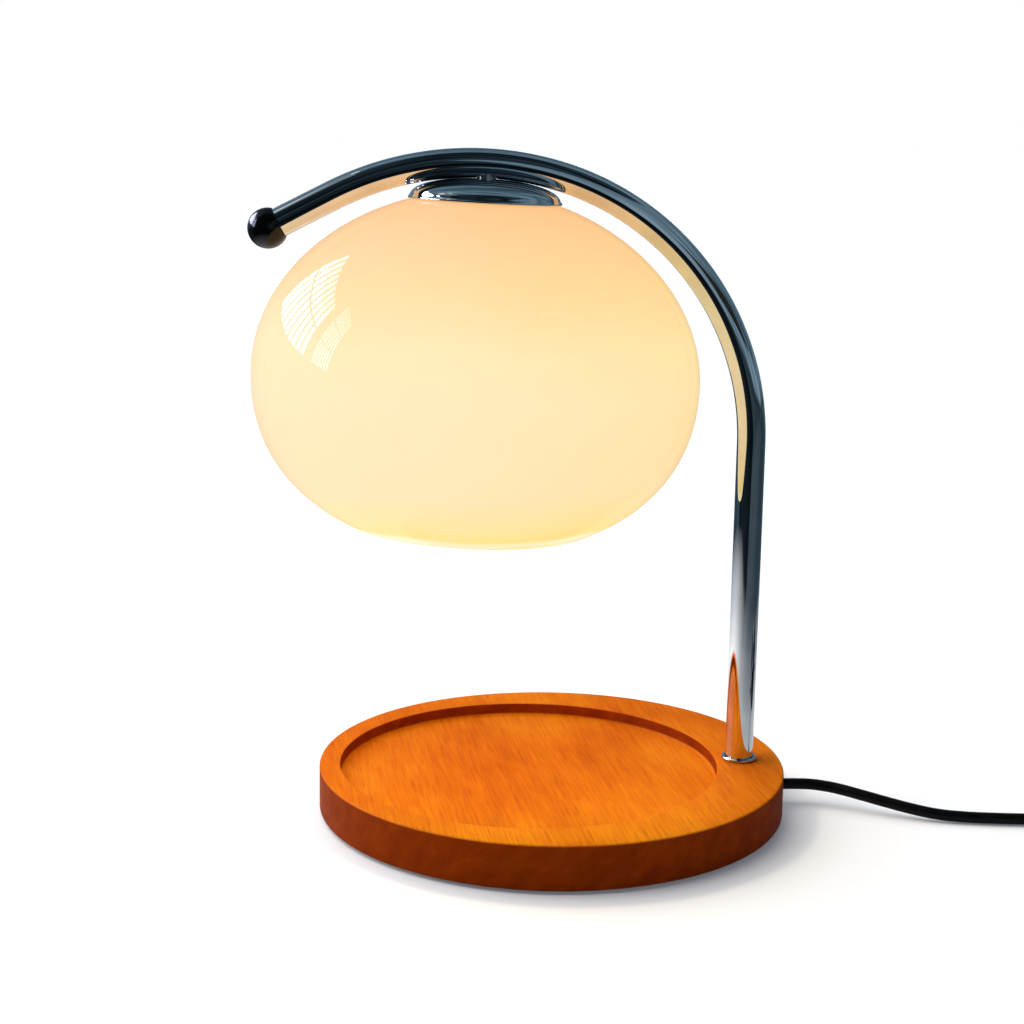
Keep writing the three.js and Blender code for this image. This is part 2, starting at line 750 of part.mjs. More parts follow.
// Reflector bulb
const neckTop = holderMouthTop - seatGap;
const neckBottom = neckTop - bulbNeckHeight;
const pinSeat = pinRadius + fitGap;
const pinDepth = pinLength / 2;
const pinPlace = (angle) => [
  pinCircleRadius * Math.cos(THREE.MathUtils.degToRad(angle)),
  pinCircleRadius * Math.sin(THREE.MathUtils.degToRad(angle)),
  0,
];
const pinSockets = pinAngles.map((angle) => (
  disc(pinSeat, neckTop - pinDepth, neckTop + overrun, screwSegments).translate(...pinPlace(angle))
));
add('bulb_base', cut(
  disc(bulbNeckRadius, neckBottom, neckTop, roundSegments), ...pinSockets,
), whiteCeramic, hanger);
pinAngles.forEach((angle, i) => {
  const pin = disc(pinRadius, neckTop - pinDepth + seatGap, pinTop, screwSegments);
  add(`bulb_pin_${i + 1}`, pin, zincSteel, hanger).position.set(...pinPlace(angle));
});
const bowlTop = neckBottom + reflectorBend;
const bowlBottom = bowlTop - reflectorHeight;
const bowlNeck = bulbNeckRadius + fitGap;
const bowlWaist = neckBottom - seatGap - reflectorWall;
const bowlMouth = reflectorRadius - reflectorWall;
const bowlMiddle = (reflectorRadius + bowlNeck) / 2;
const bowlMiddleZ = (bowlBottom + bowlWaist) / 2 + reflectorWall;
add('bulb_reflector', turned([
  [bowlMouth, bowlBottom],
  [reflectorRadius, bowlBottom],
  [bowlMiddle + reflectorWall, bowlMiddleZ],
  [bowlNeck + reflectorWall, bowlWaist],
  [bowlNeck + reflectorWall, bowlTop],
  [bowlNeck, bowlTop],
  [bowlNeck, neckBottom - seatGap],
  [capsuleRadius + fitGap, neckBottom - seatGap],
  [capsuleRadius + fitGap, bowlWaist],
  [bowlNeck - reflectorWall, bowlWaist],
  [bowlMiddle, bowlMiddleZ],
]), mirrorGlass, hanger);
const lensTaper = (bowlMouth - bowlMiddle) * (lensThickness / (bowlMiddleZ - bowlBottom));
add('bulb_lens', turned([
  [0, bowlBottom],
  [bowlMouth - fitGap, bowlBottom],
  [bowlMouth - fitGap - lensTaper, bowlBottom + lensThickness],
  [0, bowlBottom + lensThickness],
]), clearGlass, hanger);
add('bulb_capsule', turned([
  [0, neckBottom - seatGap - capsuleHeight],
  ...arc(0, neckBottom - seatGap - capsuleHeight + capsuleRadius, capsuleRadius, -60, 0),
  [capsuleRadius, neckBottom - seatGap],
  [0, neckBottom - seatGap],
], smallSegments), clearGlass, hanger);

// Cord inside the base: from the grommet it swerves round the foot pipe to the terminal block
const terminalFace = pocketOuterX - terminalSetback;
const swerveRadius = cordSideShift / 2 / (1 - Math.cos(THREE.MathUtils.degToRad(cordSideAngle)));
const swerveSteps = 4;
const grommetInner = baseRadius - grommetInside;
const grommetOuter = baseRadius - seatGap;
const cordInside = new BentPath(new THREE.Vector3(grommetOuter, 0, cordExitZ), xAxis.clone().negate())
  .straight(grommetOuter - grommetInner)
  .bend(swerveRadius, cordSideAngle, zAxis.clone().negate(), swerveSteps)
  .bend(swerveRadius, cordSideAngle, zAxis, swerveSteps);
cordInside.straight(cordInside.end.x - terminalFace - fitGap);
add('cord_inside', swept(cordInside, cordInside.steps, cordRadius, 0, cordSegments), blackFlex);

const grommetBore = cordRadius + seatGap;
const grommet = add('cord_grommet', turned([
  [grommetBore, grommetInner],
  [grommetRadius, grommetInner],
  [grommetRadius, grommetOuter],
  [grommetBore + grommetBevel, grommetOuter],
  [grommetBore, grommetOuter - grommetBevel],
], smallSegments), blackPlastic);
grommet.position.setZ(cordExitZ);
grommet.rotation.y = Math.PI / 2;

const clampHalf = clampScrewOffset + clampEnd;
const screwHole = (bottom, top, [x, y]) => (
  disc(screwShankRadius + fitGap, bottom, top, screwSegments).translate(x, y, 0)
);
add('cord_clamp', cut(
  new THREE.BoxGeometry(clampLength, 2 * clampHalf, clampThickness)
    .translate(clampX, cordInY, (clampTop + clampBottom) / 2),
  ...clampScrewPlaces.map((place) => screwHole(clampBottom - overrun, clampTop + overrun, place)),
), blackPlastic);
clampScrewPlaces.forEach(([x, y], i) => {
  add(`clamp_screw_${i + 1}`, turned([
    [0, clampBottom - seatGap - clampHeadHeight],
    [screwHeadRadius, clampBottom - seatGap - clampHeadHeight],
    [screwHeadRadius, clampBottom - seatGap],
    [screwShankRadius, clampBottom - seatGap],
    [screwShankRadius, clampScrewTop],
    [0, clampScrewTop],
  ], screwSegments), zincSteel).position.set(x, y, 0);
});

const terminalTop = pocketCeiling - seatGap;
const terminalBottom = terminalTop - terminalHeight;
const terminalPlaces = [cordInY, leadStartY];
const terminalY = [leadStartY - terminalMargin, cordInY + terminalMargin];
const terminalBack = terminalFace - terminalLength;
add('terminal_block', cut(
  slab(roundedRectangle(
    terminalBack, terminalY[0], terminalFace, terminalY[1], fitGap,
  ), terminalBottom, terminalTop, 1),
  ...terminalPlaces.map((y) => (
    disc(terminalBore, terminalBack - overrun, terminalFace + overrun, screwSegments)
      .rotateY(Math.PI / 2).translate(0, y, cordExitZ)
  )),
), whiteNylon);

// Wire from the terminal block through the tube to the lamp holder
const leadStart = new THREE.Vector3(terminalFace + fitGap, leadStartY, cordExitZ);
const leadRun = new THREE.Vector3(columnX, 0, cordExitZ).sub(leadStart);
const leadHeading = leadRun.clone().normalize();
const leadTurnShort = THREE.MathUtils.radToDeg(Math.asin(leadTopBend / (upperBendRadius - leadTopBend)));
const leadTurn = turnToApex - hangTilt - leadTurnShort - lowerBendAngle;
const leadRise = columnTop - cordExitZ - leadFootBend;
const leadBendSteps = 3;
const lead = new BentPath(leadStart, leadHeading)
  .straight(leadRun.length() - leadFootBend)
  .bend(leadFootBend, turnToApex, leadHeading.clone().cross(zAxis), leadBendSteps)
  .straight(leadRise)
  .bend(lowerBendRadius, lowerBendAngle, archAxis, archSteps.lower)
  .bend(upperBendRadius, leadTurn, archAxis, edgeSegments)
  .bend(leadTopBend, turnToApex + leadTurnShort, archAxis, leadBendSteps);
const leadDrop = -lead.end.sub(hangPoint).dot(zAxis.clone().applyQuaternion(hanger.quaternion));
lead.straight(-chamberTop - leadDrop + holderChamberHeight / 2);
add('inner_lead', swept(lead, lead.steps, leadRadius, 0, cordSegments), leadJacket);

// Free cord: two stretches that run to and from an outer ring of turns, and two for an inner ring
const turnPitch = 2 * cordRadius;
const innerRing = [innerTurnRadius - cordRadius, innerTurnRadius + turnPitch + cordRadius];
const outerRing = [innerRing[1] + fitGap, innerRing[1] + fitGap + turnPitch];
const outerRingRows = 2;
const innerRingRows = 3;
const freeCord = new THREE.Group();
freeCord.position.setX(baseRadius);
lamp.add(freeCord);

const coilRing = ([inside, outside], rows) => (
  ring(inside, outside, coilLift, coilLift + rows * turnPitch, roundSegments)
    .translate(coilX, coilY, 0)
);
add('cord_lead_out', alongRoute(leadOutRoute, stretchSteps.leadOut), blackFlex, freeCord);
add('cord_coil_outer', coilRing(outerRing, outerRingRows), blackFlex, freeCord);
add('cord_to_dimmer', alongRoute(toDimmerRoute, stretchSteps.toDimmer), blackFlex, freeCord);
add('cord_from_dimmer', alongRoute(fromDimmerRoute, stretchSteps.fromDimmer), blackFlex, freeCord);
add('cord_coil_inner', coilRing(innerRing, innerRingRows), blackFlex, freeCord);
add('cord_to_plug', alongRoute(toPlugRoute, stretchSteps.toPlug), blackFlex, freeCord);

// Tie round the coil: a flat band that follows the stepped section of both rings
function bandOutline(slack) {
  const low = coilLift - slack;
  const innerTop = coilLift + innerRingRows * turnPitch + slack;
  const outerTop = coilLift + outerRingRows * turnPitch + slack;
  return [
    [innerRing[0] - slack, low], [outerRing[1] + slack, low], [outerRing[1] + slack, outerTop],
    [innerRing[1] + slack, innerTop], [innerRing[0] - slack, innerTop],
  ].map(([x, y]) => new THREE.Vector2(x, y));
}

const tieShape = new THREE.Shape(bandOutline(tieGap + tieThickness));
tieShape.holes.push(new THREE.Path(bandOutline(tieGap).reverse()));
const tie = new THREE.ExtrudeGeometry(tieShape, { depth: tieWidth, bevelEnabled: false })
  .translate(0, 0, -tieWidth / 2).rotateX(Math.PI / 2);
const tieMesh = add('coil_tie', tie, blackPlastic, freeCord);
tieMesh.position.set(coilX, coilY, 0);
tieMesh.rotation.z = THREE.MathUtils.degToRad(tieAzimuth);

// In-line dimmer: two half cases, a board with the control, a dial, and a boot at each end
const dimmer = new THREE.Group();
dimmer.position.set(dimmerX, dimmerY, 0);
freeCord.add(dimmer);

const dimmerOutline = (inset) => roundedRectangle(
  -dimmerWidth / 2 + inset, -dimmerLength / 2 + inset, dimmerWidth / 2 - inset, dimmerLength / 2 - inset,
  dimmerCorner - inset,
);
const splitGap = seatGap / 2;
const bossY = dimmerLength / 2 - dimmerBossSetback;
const bossX = dimmerWidth / 2 - dimmerBossSetback;
const bossPlaces = [[bossX, bossY], [-bossX, -bossY]];
const dialSeat = dimmerHeight + seatGap;
const spindleBottom = boardZ + boardThickness + seatGap + potHeight / 2;
const bootHole = (radius) => disc(radius, -dimmerLength / 2 - overrun, dimmerLength / 2 + overrun)
  .rotateX(Math.PI / 2).translate(0, 0, dimmerCordZ);
const caseHole = bootHole(bootNeckRadius + fitGap);
const counterbore = screwHeadRadius + fitGap;
add('dimmer_lower_case', cut(
  softSlab(dimmerOutline(0), 0, dimmerHeight, dimmerEdge),
  slab(dimmerOutline(dimmerWall), dimmerWall, dimmerHeight + overrun),
  slab(dimmerOutline(-overrun), dimmerCordZ - splitGap, dimmerHeight + overrun),
  caseHole,
  ...bossPlaces.map((place) => screwHole(-overrun, dimmerWall + overrun, place)),
  ...bossPlaces.map(([x, y]) => (
    disc(counterbore, -overrun, screwHeadDepth + fitGap, screwSegments).translate(x, y, 0)
  )),
), blackPlastic, dimmer);
add('dimmer_upper_case', cut(
  join(
    cut(
      softSlab(dimmerOutline(0), 0, dimmerHeight, dimmerEdge),
      slab(dimmerOutline(dimmerWall), -overrun, dimmerHeight - dimmerWall),
      slab(dimmerOutline(-overrun), -overrun, dimmerCordZ + splitGap),
    ),
    ...bossPlaces.map(([x, y]) => (
      disc(dimmerBoss, dimmerWall + seatGap, dimmerHeight - dimmerWall / 2).translate(x, y, 0)
    )),
  ),
  caseHole,
  disc(dialSpindle + fitGap, dimmerHeight - dimmerWall - overrun, dimmerHeight + overrun),
  ...bossPlaces.map((place) => screwHole(-overrun, dimmerScrewLength + overrun / 2, place)),
), blackPlastic, dimmer);
bossPlaces.forEach(([x, y], i) => {
  add(`dimmer_screw_${i + 1}`, turned([
    [0, seatGap],
    [screwHeadRadius, seatGap],
    [screwHeadRadius, screwHeadDepth],
    [screwShankRadius, screwHeadDepth],
    [screwShankRadius, dimmerScrewLength],
    [0, dimmerScrewLength],
  ], screwSegments), zincSteel, dimmer).position.set(x, y, 0);
});
[-1, 1].forEach((end, i) => {
  const face = dimmerLength / 2;
  const boot = add(`dimmer_boot_${i + 1}`, turned([
    [cordRadius + seatGap, face - dimmerWall - seatGap - bootFlange],
    [bootNeckRadius + bootFlangeStep, face - dimmerWall - seatGap - bootFlange],
    [bootNeckRadius + bootFlangeStep, face - dimmerWall - seatGap],
    [bootNeckRadius, face - dimmerWall - seatGap],
    [bootNeckRadius, face + seatGap],
    [bootRadius, face + seatGap],
    [bootTipRadius, face + bootLength],
    [cordRadius + seatGap, face + bootLength],
  ], smallSegments), blackPlastic, dimmer);
  boot.rotation.x = (-end * Math.PI) / 2;
  boot.position.setZ(dimmerCordZ);
});
add('dimmer_board', new THREE.BoxGeometry(boardWidth, boardLength, boardThickness)
  .translate(0, 0, boardZ + boardThickness / 2), circuitBoard, dimmer);
const potBottom = boardZ + boardThickness + seatGap;
add('dimmer_control', cut(
  new THREE.BoxGeometry(potSide, potSide, potHeight).translate(0, 0, potBottom + potHeight / 2),
  disc(dialSpindle + fitGap, spindleBottom - seatGap, potBottom + potHeight + overrun),
), blackPlastic, dimmer);
add('dimmer_dial', cut(
  turned([
    [0, spindleBottom],
    [dialSpindle, spindleBottom],
    [dialSpindle, dialSeat],
    [dialRadius, dialSeat],
    [dialRadius, dialSeat + dialHeight - dimmerEdge],
    [dialRadius - dimmerEdge, dialSeat + dialHeight],
    [0, dialSeat + dialHeight],
  ]),
  new THREE.BoxGeometry(dialNotch, dialRadius, dialNotch)
    .translate(0, dialRadius, dialSeat + dialHeight),
), blackGloss, dimmer);

// Plug: body with a moulded boot, and two round pins
const plug = new THREE.Group();
plug.position.set(plugNoseX, plugY, plugZ);
freeCord.add(plug);

const plugBack = plugBootLength;
const plugFront = plugBack + plugBodyLength;
const plugShape = new THREE.Shape();
plugShape.moveTo(plugBack, -plugBackHalf);
plugShape.lineTo(plugBack + plugBodyLength / 2, -plugHalfWidth);
plugShape.lineTo(plugFront - plugCorner, -plugHalfWidth);
plugShape.quadraticCurveTo(plugFront, -plugHalfWidth, plugFront, -plugHalfWidth + plugCorner);
plugShape.lineTo(plugFront, plugHalfWidth - plugCorner);
plugShape.quadraticCurveTo(plugFront, plugHalfWidth, plugFront - plugCorner, plugHalfWidth);
plugShape.lineTo(plugBack + plugBodyLength / 2, plugHalfWidth);
plugShape.lineTo(plugBack, plugBackHalf);
plugShape.closePath();
const pinPlaces = [-1, 1].map((side) => (side * plugPinSpacing) / 2);
const alongX = (geometry, y = 0) => geometry.rotateY(Math.PI / 2).translate(0, y, 0);
add('plug_body', cut(
  join(
    softSlab(plugShape, -plugThickness / 2, plugThickness / 2, plugEdge, 2 * edgeSegments),
    alongX(turned([
      [0, 0], [plugBootTip, 0], [plugBootRoot, plugBootLength], [plugBootRoot, plugBootLength + plugCorner],
      [0, plugBootLength + plugCorner],
    ], smallSegments)),
  ),
  ...pinPlaces.map((y) => (
    alongX(disc(plugPinRadius + fitGap, plugFront - plugPinSeat, plugFront + overrun), y)
  )),
), blackPlastic, plug);
pinPlaces.forEach((y, i) => {
  add(`plug_pin_${i + 1}`, alongX(turned([
    [0, plugFront - plugPinSeat + seatGap],
    [plugPinRadius, plugFront - plugPinSeat + seatGap],
    [plugPinRadius, plugFront + plugPinLength - plugPinTip],
    [plugPinRadius - plugPinTip, plugFront + plugPinLength],
    [0, plugFront + plugPinLength],
  ], smallSegments), y), brass, plug);
});

export default lamp;
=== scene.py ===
import math

import bpy
from mathutils import Matrix, Vector


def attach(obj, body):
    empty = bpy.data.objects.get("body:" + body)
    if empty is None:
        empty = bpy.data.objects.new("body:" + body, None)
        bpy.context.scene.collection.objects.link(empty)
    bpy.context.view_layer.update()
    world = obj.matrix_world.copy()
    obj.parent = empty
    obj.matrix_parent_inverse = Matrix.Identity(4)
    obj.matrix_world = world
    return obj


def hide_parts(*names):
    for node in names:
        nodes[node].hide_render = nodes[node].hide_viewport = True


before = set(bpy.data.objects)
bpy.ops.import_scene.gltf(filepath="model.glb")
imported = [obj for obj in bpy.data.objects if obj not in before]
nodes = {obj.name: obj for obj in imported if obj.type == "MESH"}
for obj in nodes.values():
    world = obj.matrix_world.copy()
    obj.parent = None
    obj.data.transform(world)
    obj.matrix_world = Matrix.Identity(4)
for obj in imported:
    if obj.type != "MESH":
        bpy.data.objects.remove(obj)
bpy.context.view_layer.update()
scene = bpy.context.scene
print("frame loaded:", len(nodes), "CAD nodes")

# All sizes below are in millimetres unless a name says otherwise
mm = 0.001


def point(x, y, z):
    return Vector((x, y, z)) * mm


# Camera, where the picture was taken from
camera = {
    "place": (-65.37, -766.492, 285.692),
    "right": (0.99820765, -0.05830046, 0.01351116),
    "up": (-0.00159825, 0.19971646, 0.97985243),
    "forward": (0.05982425, 0.97811778, -0.19926532),
    "lens": 65.36, "sensor": 36, "nearMetres": 0.01, "farMetres": 200,
}
lensData = bpy.data.cameras.new("lampCamera")
lensData.lens = camera["lens"]
lensData.sensor_width = camera["sensor"]
lensData.clip_start = camera["nearMetres"]
lensData.clip_end = camera["farMetres"]
cameraObject = bpy.data.objects.new("lampCamera", lensData)
scene.collection.objects.link(cameraObject)
turn = Matrix((camera["right"], camera["up"], -Vector(camera["forward"]))).transposed()
cameraObject.matrix_world = Matrix.Translation(point(*camera["place"])) @ turn.to_4x4()
scene.camera = cameraObject
scene.view_settings.view_transform = "Standard"
print("camera set")


# Colours and materials

def toLinear(hexColour):
    channels = [int(hexColour[i:i + 2], 16) / 255 for i in (1, 3, 5)]
    return tuple(c / 12.92 if c <= 0.04045 else ((c + 0.055) / 1.055) ** 2.4 for c in channels) + (1.0,)


def addNode(tree, kind, inputs=None, **settings):
    # Sockets go by name or number; a colour Mix node's colours are inputs 6 and 7 and output 2
    node = tree.nodes.new(kind)
    for name, value in settings.items():
        setattr(node, name, value)
    for socket, value in (inputs or {}).items():
        if isinstance(value, bpy.types.NodeSocket):
            tree.links.new(value, node.inputs[socket])
        else:
            node.inputs[socket].default_value = value
    return node


def setStops(ramp, stops):
    elements = ramp.color_ramp.elements
    while len(elements) < len(stops):
        elements.new(0.5)
    for element, (place, colour) in zip(elements, stops):
        element.position = place
        element.color = toLinear(colour)


def perMetre(size):
    return 1 / (size * mm)  # noise scale whose features are about that many millimetres


def newMaterial(name, **surface):
    material = bpy.data.materials.new(name)
    material.use_nodes = True
    tree = material.node_tree
    shader = tree.nodes["Principled BSDF"]
    for socket, value in surface.items():
        shader.inputs[socket.replace("_", " ")].default_value = value
    coords = addNode(tree, "ShaderNodeTexCoord").outputs["Object"]
    return material, tree, shader, coords


def speckle(tree, coords, size, detail=3.0, roughness=0.5, longer=(1, 1, 1), turned=(0, 0, 0)):
    # size: a feature's width in millimetres; longer: how many times it is drawn out along each axis
    # once the axes are turned by some degrees
    placed = addNode(tree, "ShaderNodeMapping", {
        "Vector": coords, "Scale": longer, "Rotation": [math.radians(a) for a in turned]},
        vector_type="TEXTURE")
    return addNode(tree, "ShaderNodeTexNoise", {
        "Vector": placed.outputs["Vector"], "Scale": perMetre(size), "Detail": detail,
        "Roughness": roughness}).outputs["Fac"]


def variedColour(tree, shader, factor, stops):
    ramp = addNode(tree, "ShaderNodeValToRGB", {"Fac": factor})
    setStops(ramp, stops)
    tree.links.new(ramp.outputs["Color"], shader.inputs["Base Color"])


def variedRoughness(tree, shader, factor, low, high):
    spread = addNode(tree, "ShaderNodeMapRange", {
        "Value": factor, "From Min": 0.3, "From Max": 0.7, "To Min": low, "To Max": high})
    tree.links.new(spread.outputs["Result"], shader.inputs["Roughness"])


def raised(tree, shader, height, strength, depth):
    bump = addNode(tree, "ShaderNodeBump", {
        "Height": height, "Strength": strength, "Distance": depth * mm})
    tree.links.new(bump.outputs["Normal"], shader.inputs["Normal"])


def makeStainedBeech():
    # Turned beech, stained orange-brown and lacquered satin: fine straight grain with long thin dark
    # pores and a little cloudiness; the turned edge is end grain, which drinks stain and goes dark, and
    # every upright face is painted darker still for the shade it stands in, away from the light above
    material, tree, shader, coords = newMaterial("stainedBeech", Roughness=0.56, IOR=1.5,
                                                 Specular_IOR_Level=0.02)
    along = (0, 0, 6)
    cloud = speckle(tree, coords, 30, roughness=0.55, longer=(1, 2.4, 1), turned=along)
    grain = speckle(tree, coords, 1.1, roughness=0.6, longer=(1, 24, 1), turned=along)
    pores = speckle(tree, coords, 0.55, detail=2, longer=(1, 26, 1.6), turned=along)
    blend = addNode(tree, "ShaderNodeMix", {0: 0.45, 2: cloud, 3: grain}, data_type="FLOAT")
    faceGrain = addNode(tree, "ShaderNodeValToRGB", {"Fac": blend.outputs[0]})
    setStops(faceGrain, [(0.34, "#B15806"), (0.46, "#C96C09"), (0.56, "#D57B0D"), (0.68, "#E08B13")])
    # Painted light: the wood is made lighter and yellower towards the front, where more of the warm light
    # falls
    depth = addNode(tree, "ShaderNodeSeparateXYZ", {"Vector": coords}).outputs["Y"]
    fromBack = addNode(tree, "ShaderNodeMapRange", {
        "Value": depth, "From Min": 90 * mm, "From Max": -90 * mm})
    paintedFrontLight = addNode(tree, "ShaderNodeValToRGB", {"Fac": fromBack.outputs["Result"]})
    setStops(paintedFrontLight, [(0.0, "#EAD9FF"), (0.22, "#E7CFFF"), (0.5, "#EFDAFF"), (0.78, "#FAE8FF"),
                          (1.0, "#FFFFFF")])
    # Face grain times the painted front light
    stainedFrontLit = addNode(tree, "ShaderNodeMix", {
        "Factor": 1.0, 6: faceGrain.outputs["Color"], 7: paintedFrontLight.outputs["Color"]},
        data_type="RGBA", blend_type="MULTIPLY")
    poreMask = addNode(tree, "ShaderNodeMapRange", {
        "Value": pores, "From Min": 0.60, "From Max": 0.70, "To Min": 0.0, "To Max": 0.36})
    pored = addNode(tree, "ShaderNodeMix", {
        "Factor": poreMask.outputs["Result"], 6: stainedFrontLit.outputs[2], 7: toLinear("#8A3804")},
        data_type="RGBA")
    blotch = speckle(tree, coords, 6, detail=4, roughness=0.6, longer=(2.4, 1, 1), turned=(0, -38, 0))
    endGrainAndShade = addNode(tree, "ShaderNodeValToRGB", {"Fac": blotch})
    setStops(endGrainAndShade, [(0.32, "#7C2A00"), (0.50, "#863000"), (0.68, "#903701")])
    # Painted shade: upright faces, turned away from the light above, take the dark end-grain colour; the
    # top keeps the face grain
    normal = addNode(tree, "ShaderNodeTexCoord").outputs["Normal"]
    upward = addNode(tree, "ShaderNodeSeparateXYZ", {"Vector": normal}).outputs["Z"]
    litTopShare = addNode(tree, "ShaderNodeMapRange", {"Value": upward, "From Min": 0.25, "From Max": 0.8})
    both = addNode(tree, "ShaderNodeMix", {
        "Factor": litTopShare.outputs["Result"], 6: endGrainAndShade.outputs["Color"], 7: pored.outputs[2]},
        data_type="RGBA")
    tree.links.new(both.outputs[2], shader.inputs["Base Color"])
    variedRoughness(tree, shader, grain, low=0.50, high=0.62)
    raised(tree, shader, grain, strength=0.10, depth=0.08)
    return material


def makeChrome():
    # Bright nickel-chrome plate on bent steel tube: mirror-like, with the faintest haze and ripple
    material, tree, shader, coords = newMaterial("platedChrome", Metallic=1.0, Roughness=0.04)
    haze = speckle(tree, coords, 18)
    variedColour(tree, shader, haze, [(0.35, "#D2D6DA"), (0.65, "#E2E6EA")])
    variedRoughness(tree, shader, haze, low=0.02, high=0.05)
    raised(tree, shader, speckle(tree, coords, 30, detail=1), strength=0.05, depth=0.2)
    return material


def makeBlackLacquer():
    # Turned ball and dial in black lacquer: deep black with a small soft highlight
    material, tree, shader, coords = newMaterial("blackLacquer", Roughness=0.16, IOR=1.5,
                                                 Specular_IOR_Level=0.25, Coat_Weight=0.12,
                                                 Coat_Roughness=0.08)
    mottle = speckle(tree, coords, 3, detail=4)
    variedColour(tree, shader, mottle, [(0.3, "#020203"), (0.7, "#060607")])
    variedRoughness(tree, shader, mottle, low=0.13, high=0.19)
    raised(tree, shader, speckle(tree, coords, 0.5, detail=2), strength=0.05, depth=0.02)
    return material


def makeMouldedPlastic(name, dark, light, roughness, grit):
    # Injection-moulded ABS or PVC: spark-eroded texture of fine even grit
    material, tree, shader, coords = newMaterial(name, Roughness=roughness, IOR=1.53)
    mottle = speckle(tree, coords, 8)
    variedColour(tree, shader, mottle, [(0.3, dark), (0.7, light)])
    variedRoughness(tree, shader, mottle, roughness - 0.05, roughness + 0.06)
    raised(tree, shader, speckle(tree, coords, grit, detail=2), strength=0.25, depth=0.03)
    return material


# Heights between which the lit glass changes, how far its bands wander as a share of that, and the
# places between which a warm tint comes in from left to right, painted shade of the side away from
# the cool daylight on the left
glass = {"low": 112, "high": 262, "wander": 0.06, "warmFrom": -50, "warmTo": 60, "warmTint": "#FFF9E5"}
# Its glow at shares of the way up: a pale fire-polished lip, then yellow, a pale belly, a peach crown
glassGlow = [
    (0.000, "#FFF6CE"), (0.080, "#FFF3C4"), (0.090, "#FFE7A2"), (0.102, "#FFF3C8"), (0.112, "#FFEFB5"),
    (0.122, "#FFE182"), (0.16, "#FFE195"), (0.25, "#FFE0AA"), (0.50, "#FFE6B4"), (0.62, "#FFE7B0"),
    (0.78, "#FFD998"), (0.87, "#FFCF90"), (1.00, "#FFC07C")]


def makeOpalGlass():
    # Cased opal glass, blown and fire polished, lit from inside: the milky layer glows pale yellow low
    # down, where most of the light falls on it, and peach near the crown, where it comes at a slant.
    # The clear layer over it is a coat, so that a reflection stays sharp
    material, tree, shader, coords = newMaterial(
        "litOpalGlass", Roughness=0.25, IOR=1.5, Specular_IOR_Level=0.0, Coat_Weight=0.25,
        Coat_Roughness=0.003, Coat_IOR=1.5)
    height = addNode(tree, "ShaderNodeSeparateXYZ", {"Vector": coords}).outputs["Z"]
    share = addNode(tree, "ShaderNodeMapRange", {
        "Value": height, "From Min": glass["low"] * mm, "From Max": glass["high"] * mm})
    cloud = speckle(tree, coords, 60, detail=2)
    drift = addNode(tree, "ShaderNodeMath", {0: cloud, 1: 0.5}, operation="SUBTRACT")
    wavy = addNode(tree, "ShaderNodeMath", {
        0: drift.outputs[0], 1: glass["wander"], 2: share.outputs["Result"]}, operation="MULTIPLY_ADD")
    glow = addNode(tree, "ShaderNodeValToRGB", {"Fac": wavy.outputs[0]})
    setStops(glow, glassGlow)
    # Painted shade: the right side, out of the cool daylight from the left, is tinted warmer
    across = addNode(tree, "ShaderNodeSeparateXYZ", {"Vector": coords}).outputs["X"]
    rightShadeShare = addNode(tree, "ShaderNodeMapRange", {
        "Value": across, "From Min": glass["warmFrom"] * mm, "From Max": glass["warmTo"] * mm})
    glowShadedRight = addNode(tree, "ShaderNodeMix", {
        "Factor": rightShadeShare.outputs["Result"], 6: glow.outputs["Color"], 7: toLinear(glass["warmTint"])},
        data_type="RGBA", blend_type="MULTIPLY")
    tree.links.new(glowShadedRight.outputs[2], shader.inputs["Emission Color"])
    shader.inputs["Emission Strength"].default_value = 1.0
    milk = speckle(tree, coords, 12)
    variedColour(tree, shader, milk, [(0.3, "#5F595D"), (0.7, "#655F63")])
    return material


def makeCordJacket():
    # Flexible PVC jacket of the mains cord: smooth, black, half gloss, faintly wavy along its length
    material, tree, shader, coords = newMaterial("pvcCordJacket", Roughness=0.36, IOR=1.53,
                                                 Specular_IOR_Level=0.14)
    mottle = speckle(tree, coords, 5)
    variedColour(tree, shader, mottle, [(0.3, "#050505"), (0.7, "#0B0B0C")])
    variedRoughness(tree, shader, mottle, low=0.32, high=0.44)
    raised(tree, shader, speckle(tree, coords, 2.5, detail=2), strength=0.10, depth=0.08)
    return material


def makeFoam():
    # Closed-cell EVA foam, die-cut: open matte skin with tiny cells
    material, tree, shader, coords = newMaterial("evaFoam", Roughness=0.9, IOR=1.4)
    cells = addNode(tree, "ShaderNodeTexVoronoi", {"Vector": coords, "Scale": perMetre(0.7)})
    variedColour(tree, shader, cells.outputs["Distance"], [(0.1, "#1E1E20"), (0.7, "#131314")])
    raised(tree, shader, cells.outputs["Distance"], strength=0.5, depth=0.08)
    return material


def makeSilicone():
    # Moulded silicone rubber: milky and a little waxy
    material, tree, shader, coords = newMaterial("siliconeRubber", Roughness=0.5, IOR=1.41,
                                                 Subsurface_Weight=0.3, Subsurface_Scale=0.002)
    variedColour(tree, shader, speckle(tree, coords, 3), [(0.3, "#CFCBC2"), (0.7, "#E0DDD5")])
    raised(tree, shader, speckle(tree, coords, 0.4, detail=2), strength=0.15, depth=0.02)
    return material


def makeZincSteel():
    # Bright zinc plate on pressed steel: grey, slightly blue, finely brushed by the tooling
    material, tree, shader, coords = newMaterial("zincPlatedSteel", Metallic=1.0, Roughness=0.32)
    streak = speckle(tree, coords, 0.8, roughness=0.6, longer=(1, 8, 1))
    variedColour(tree, shader, streak, [(0.3, "#A9ACB0"), (0.7, "#C2C4C6")])
    variedRoughness(tree, shader, streak, low=0.25, high=0.42)
    raised(tree, shader, streak, strength=0.12, depth=0.02)
    return material


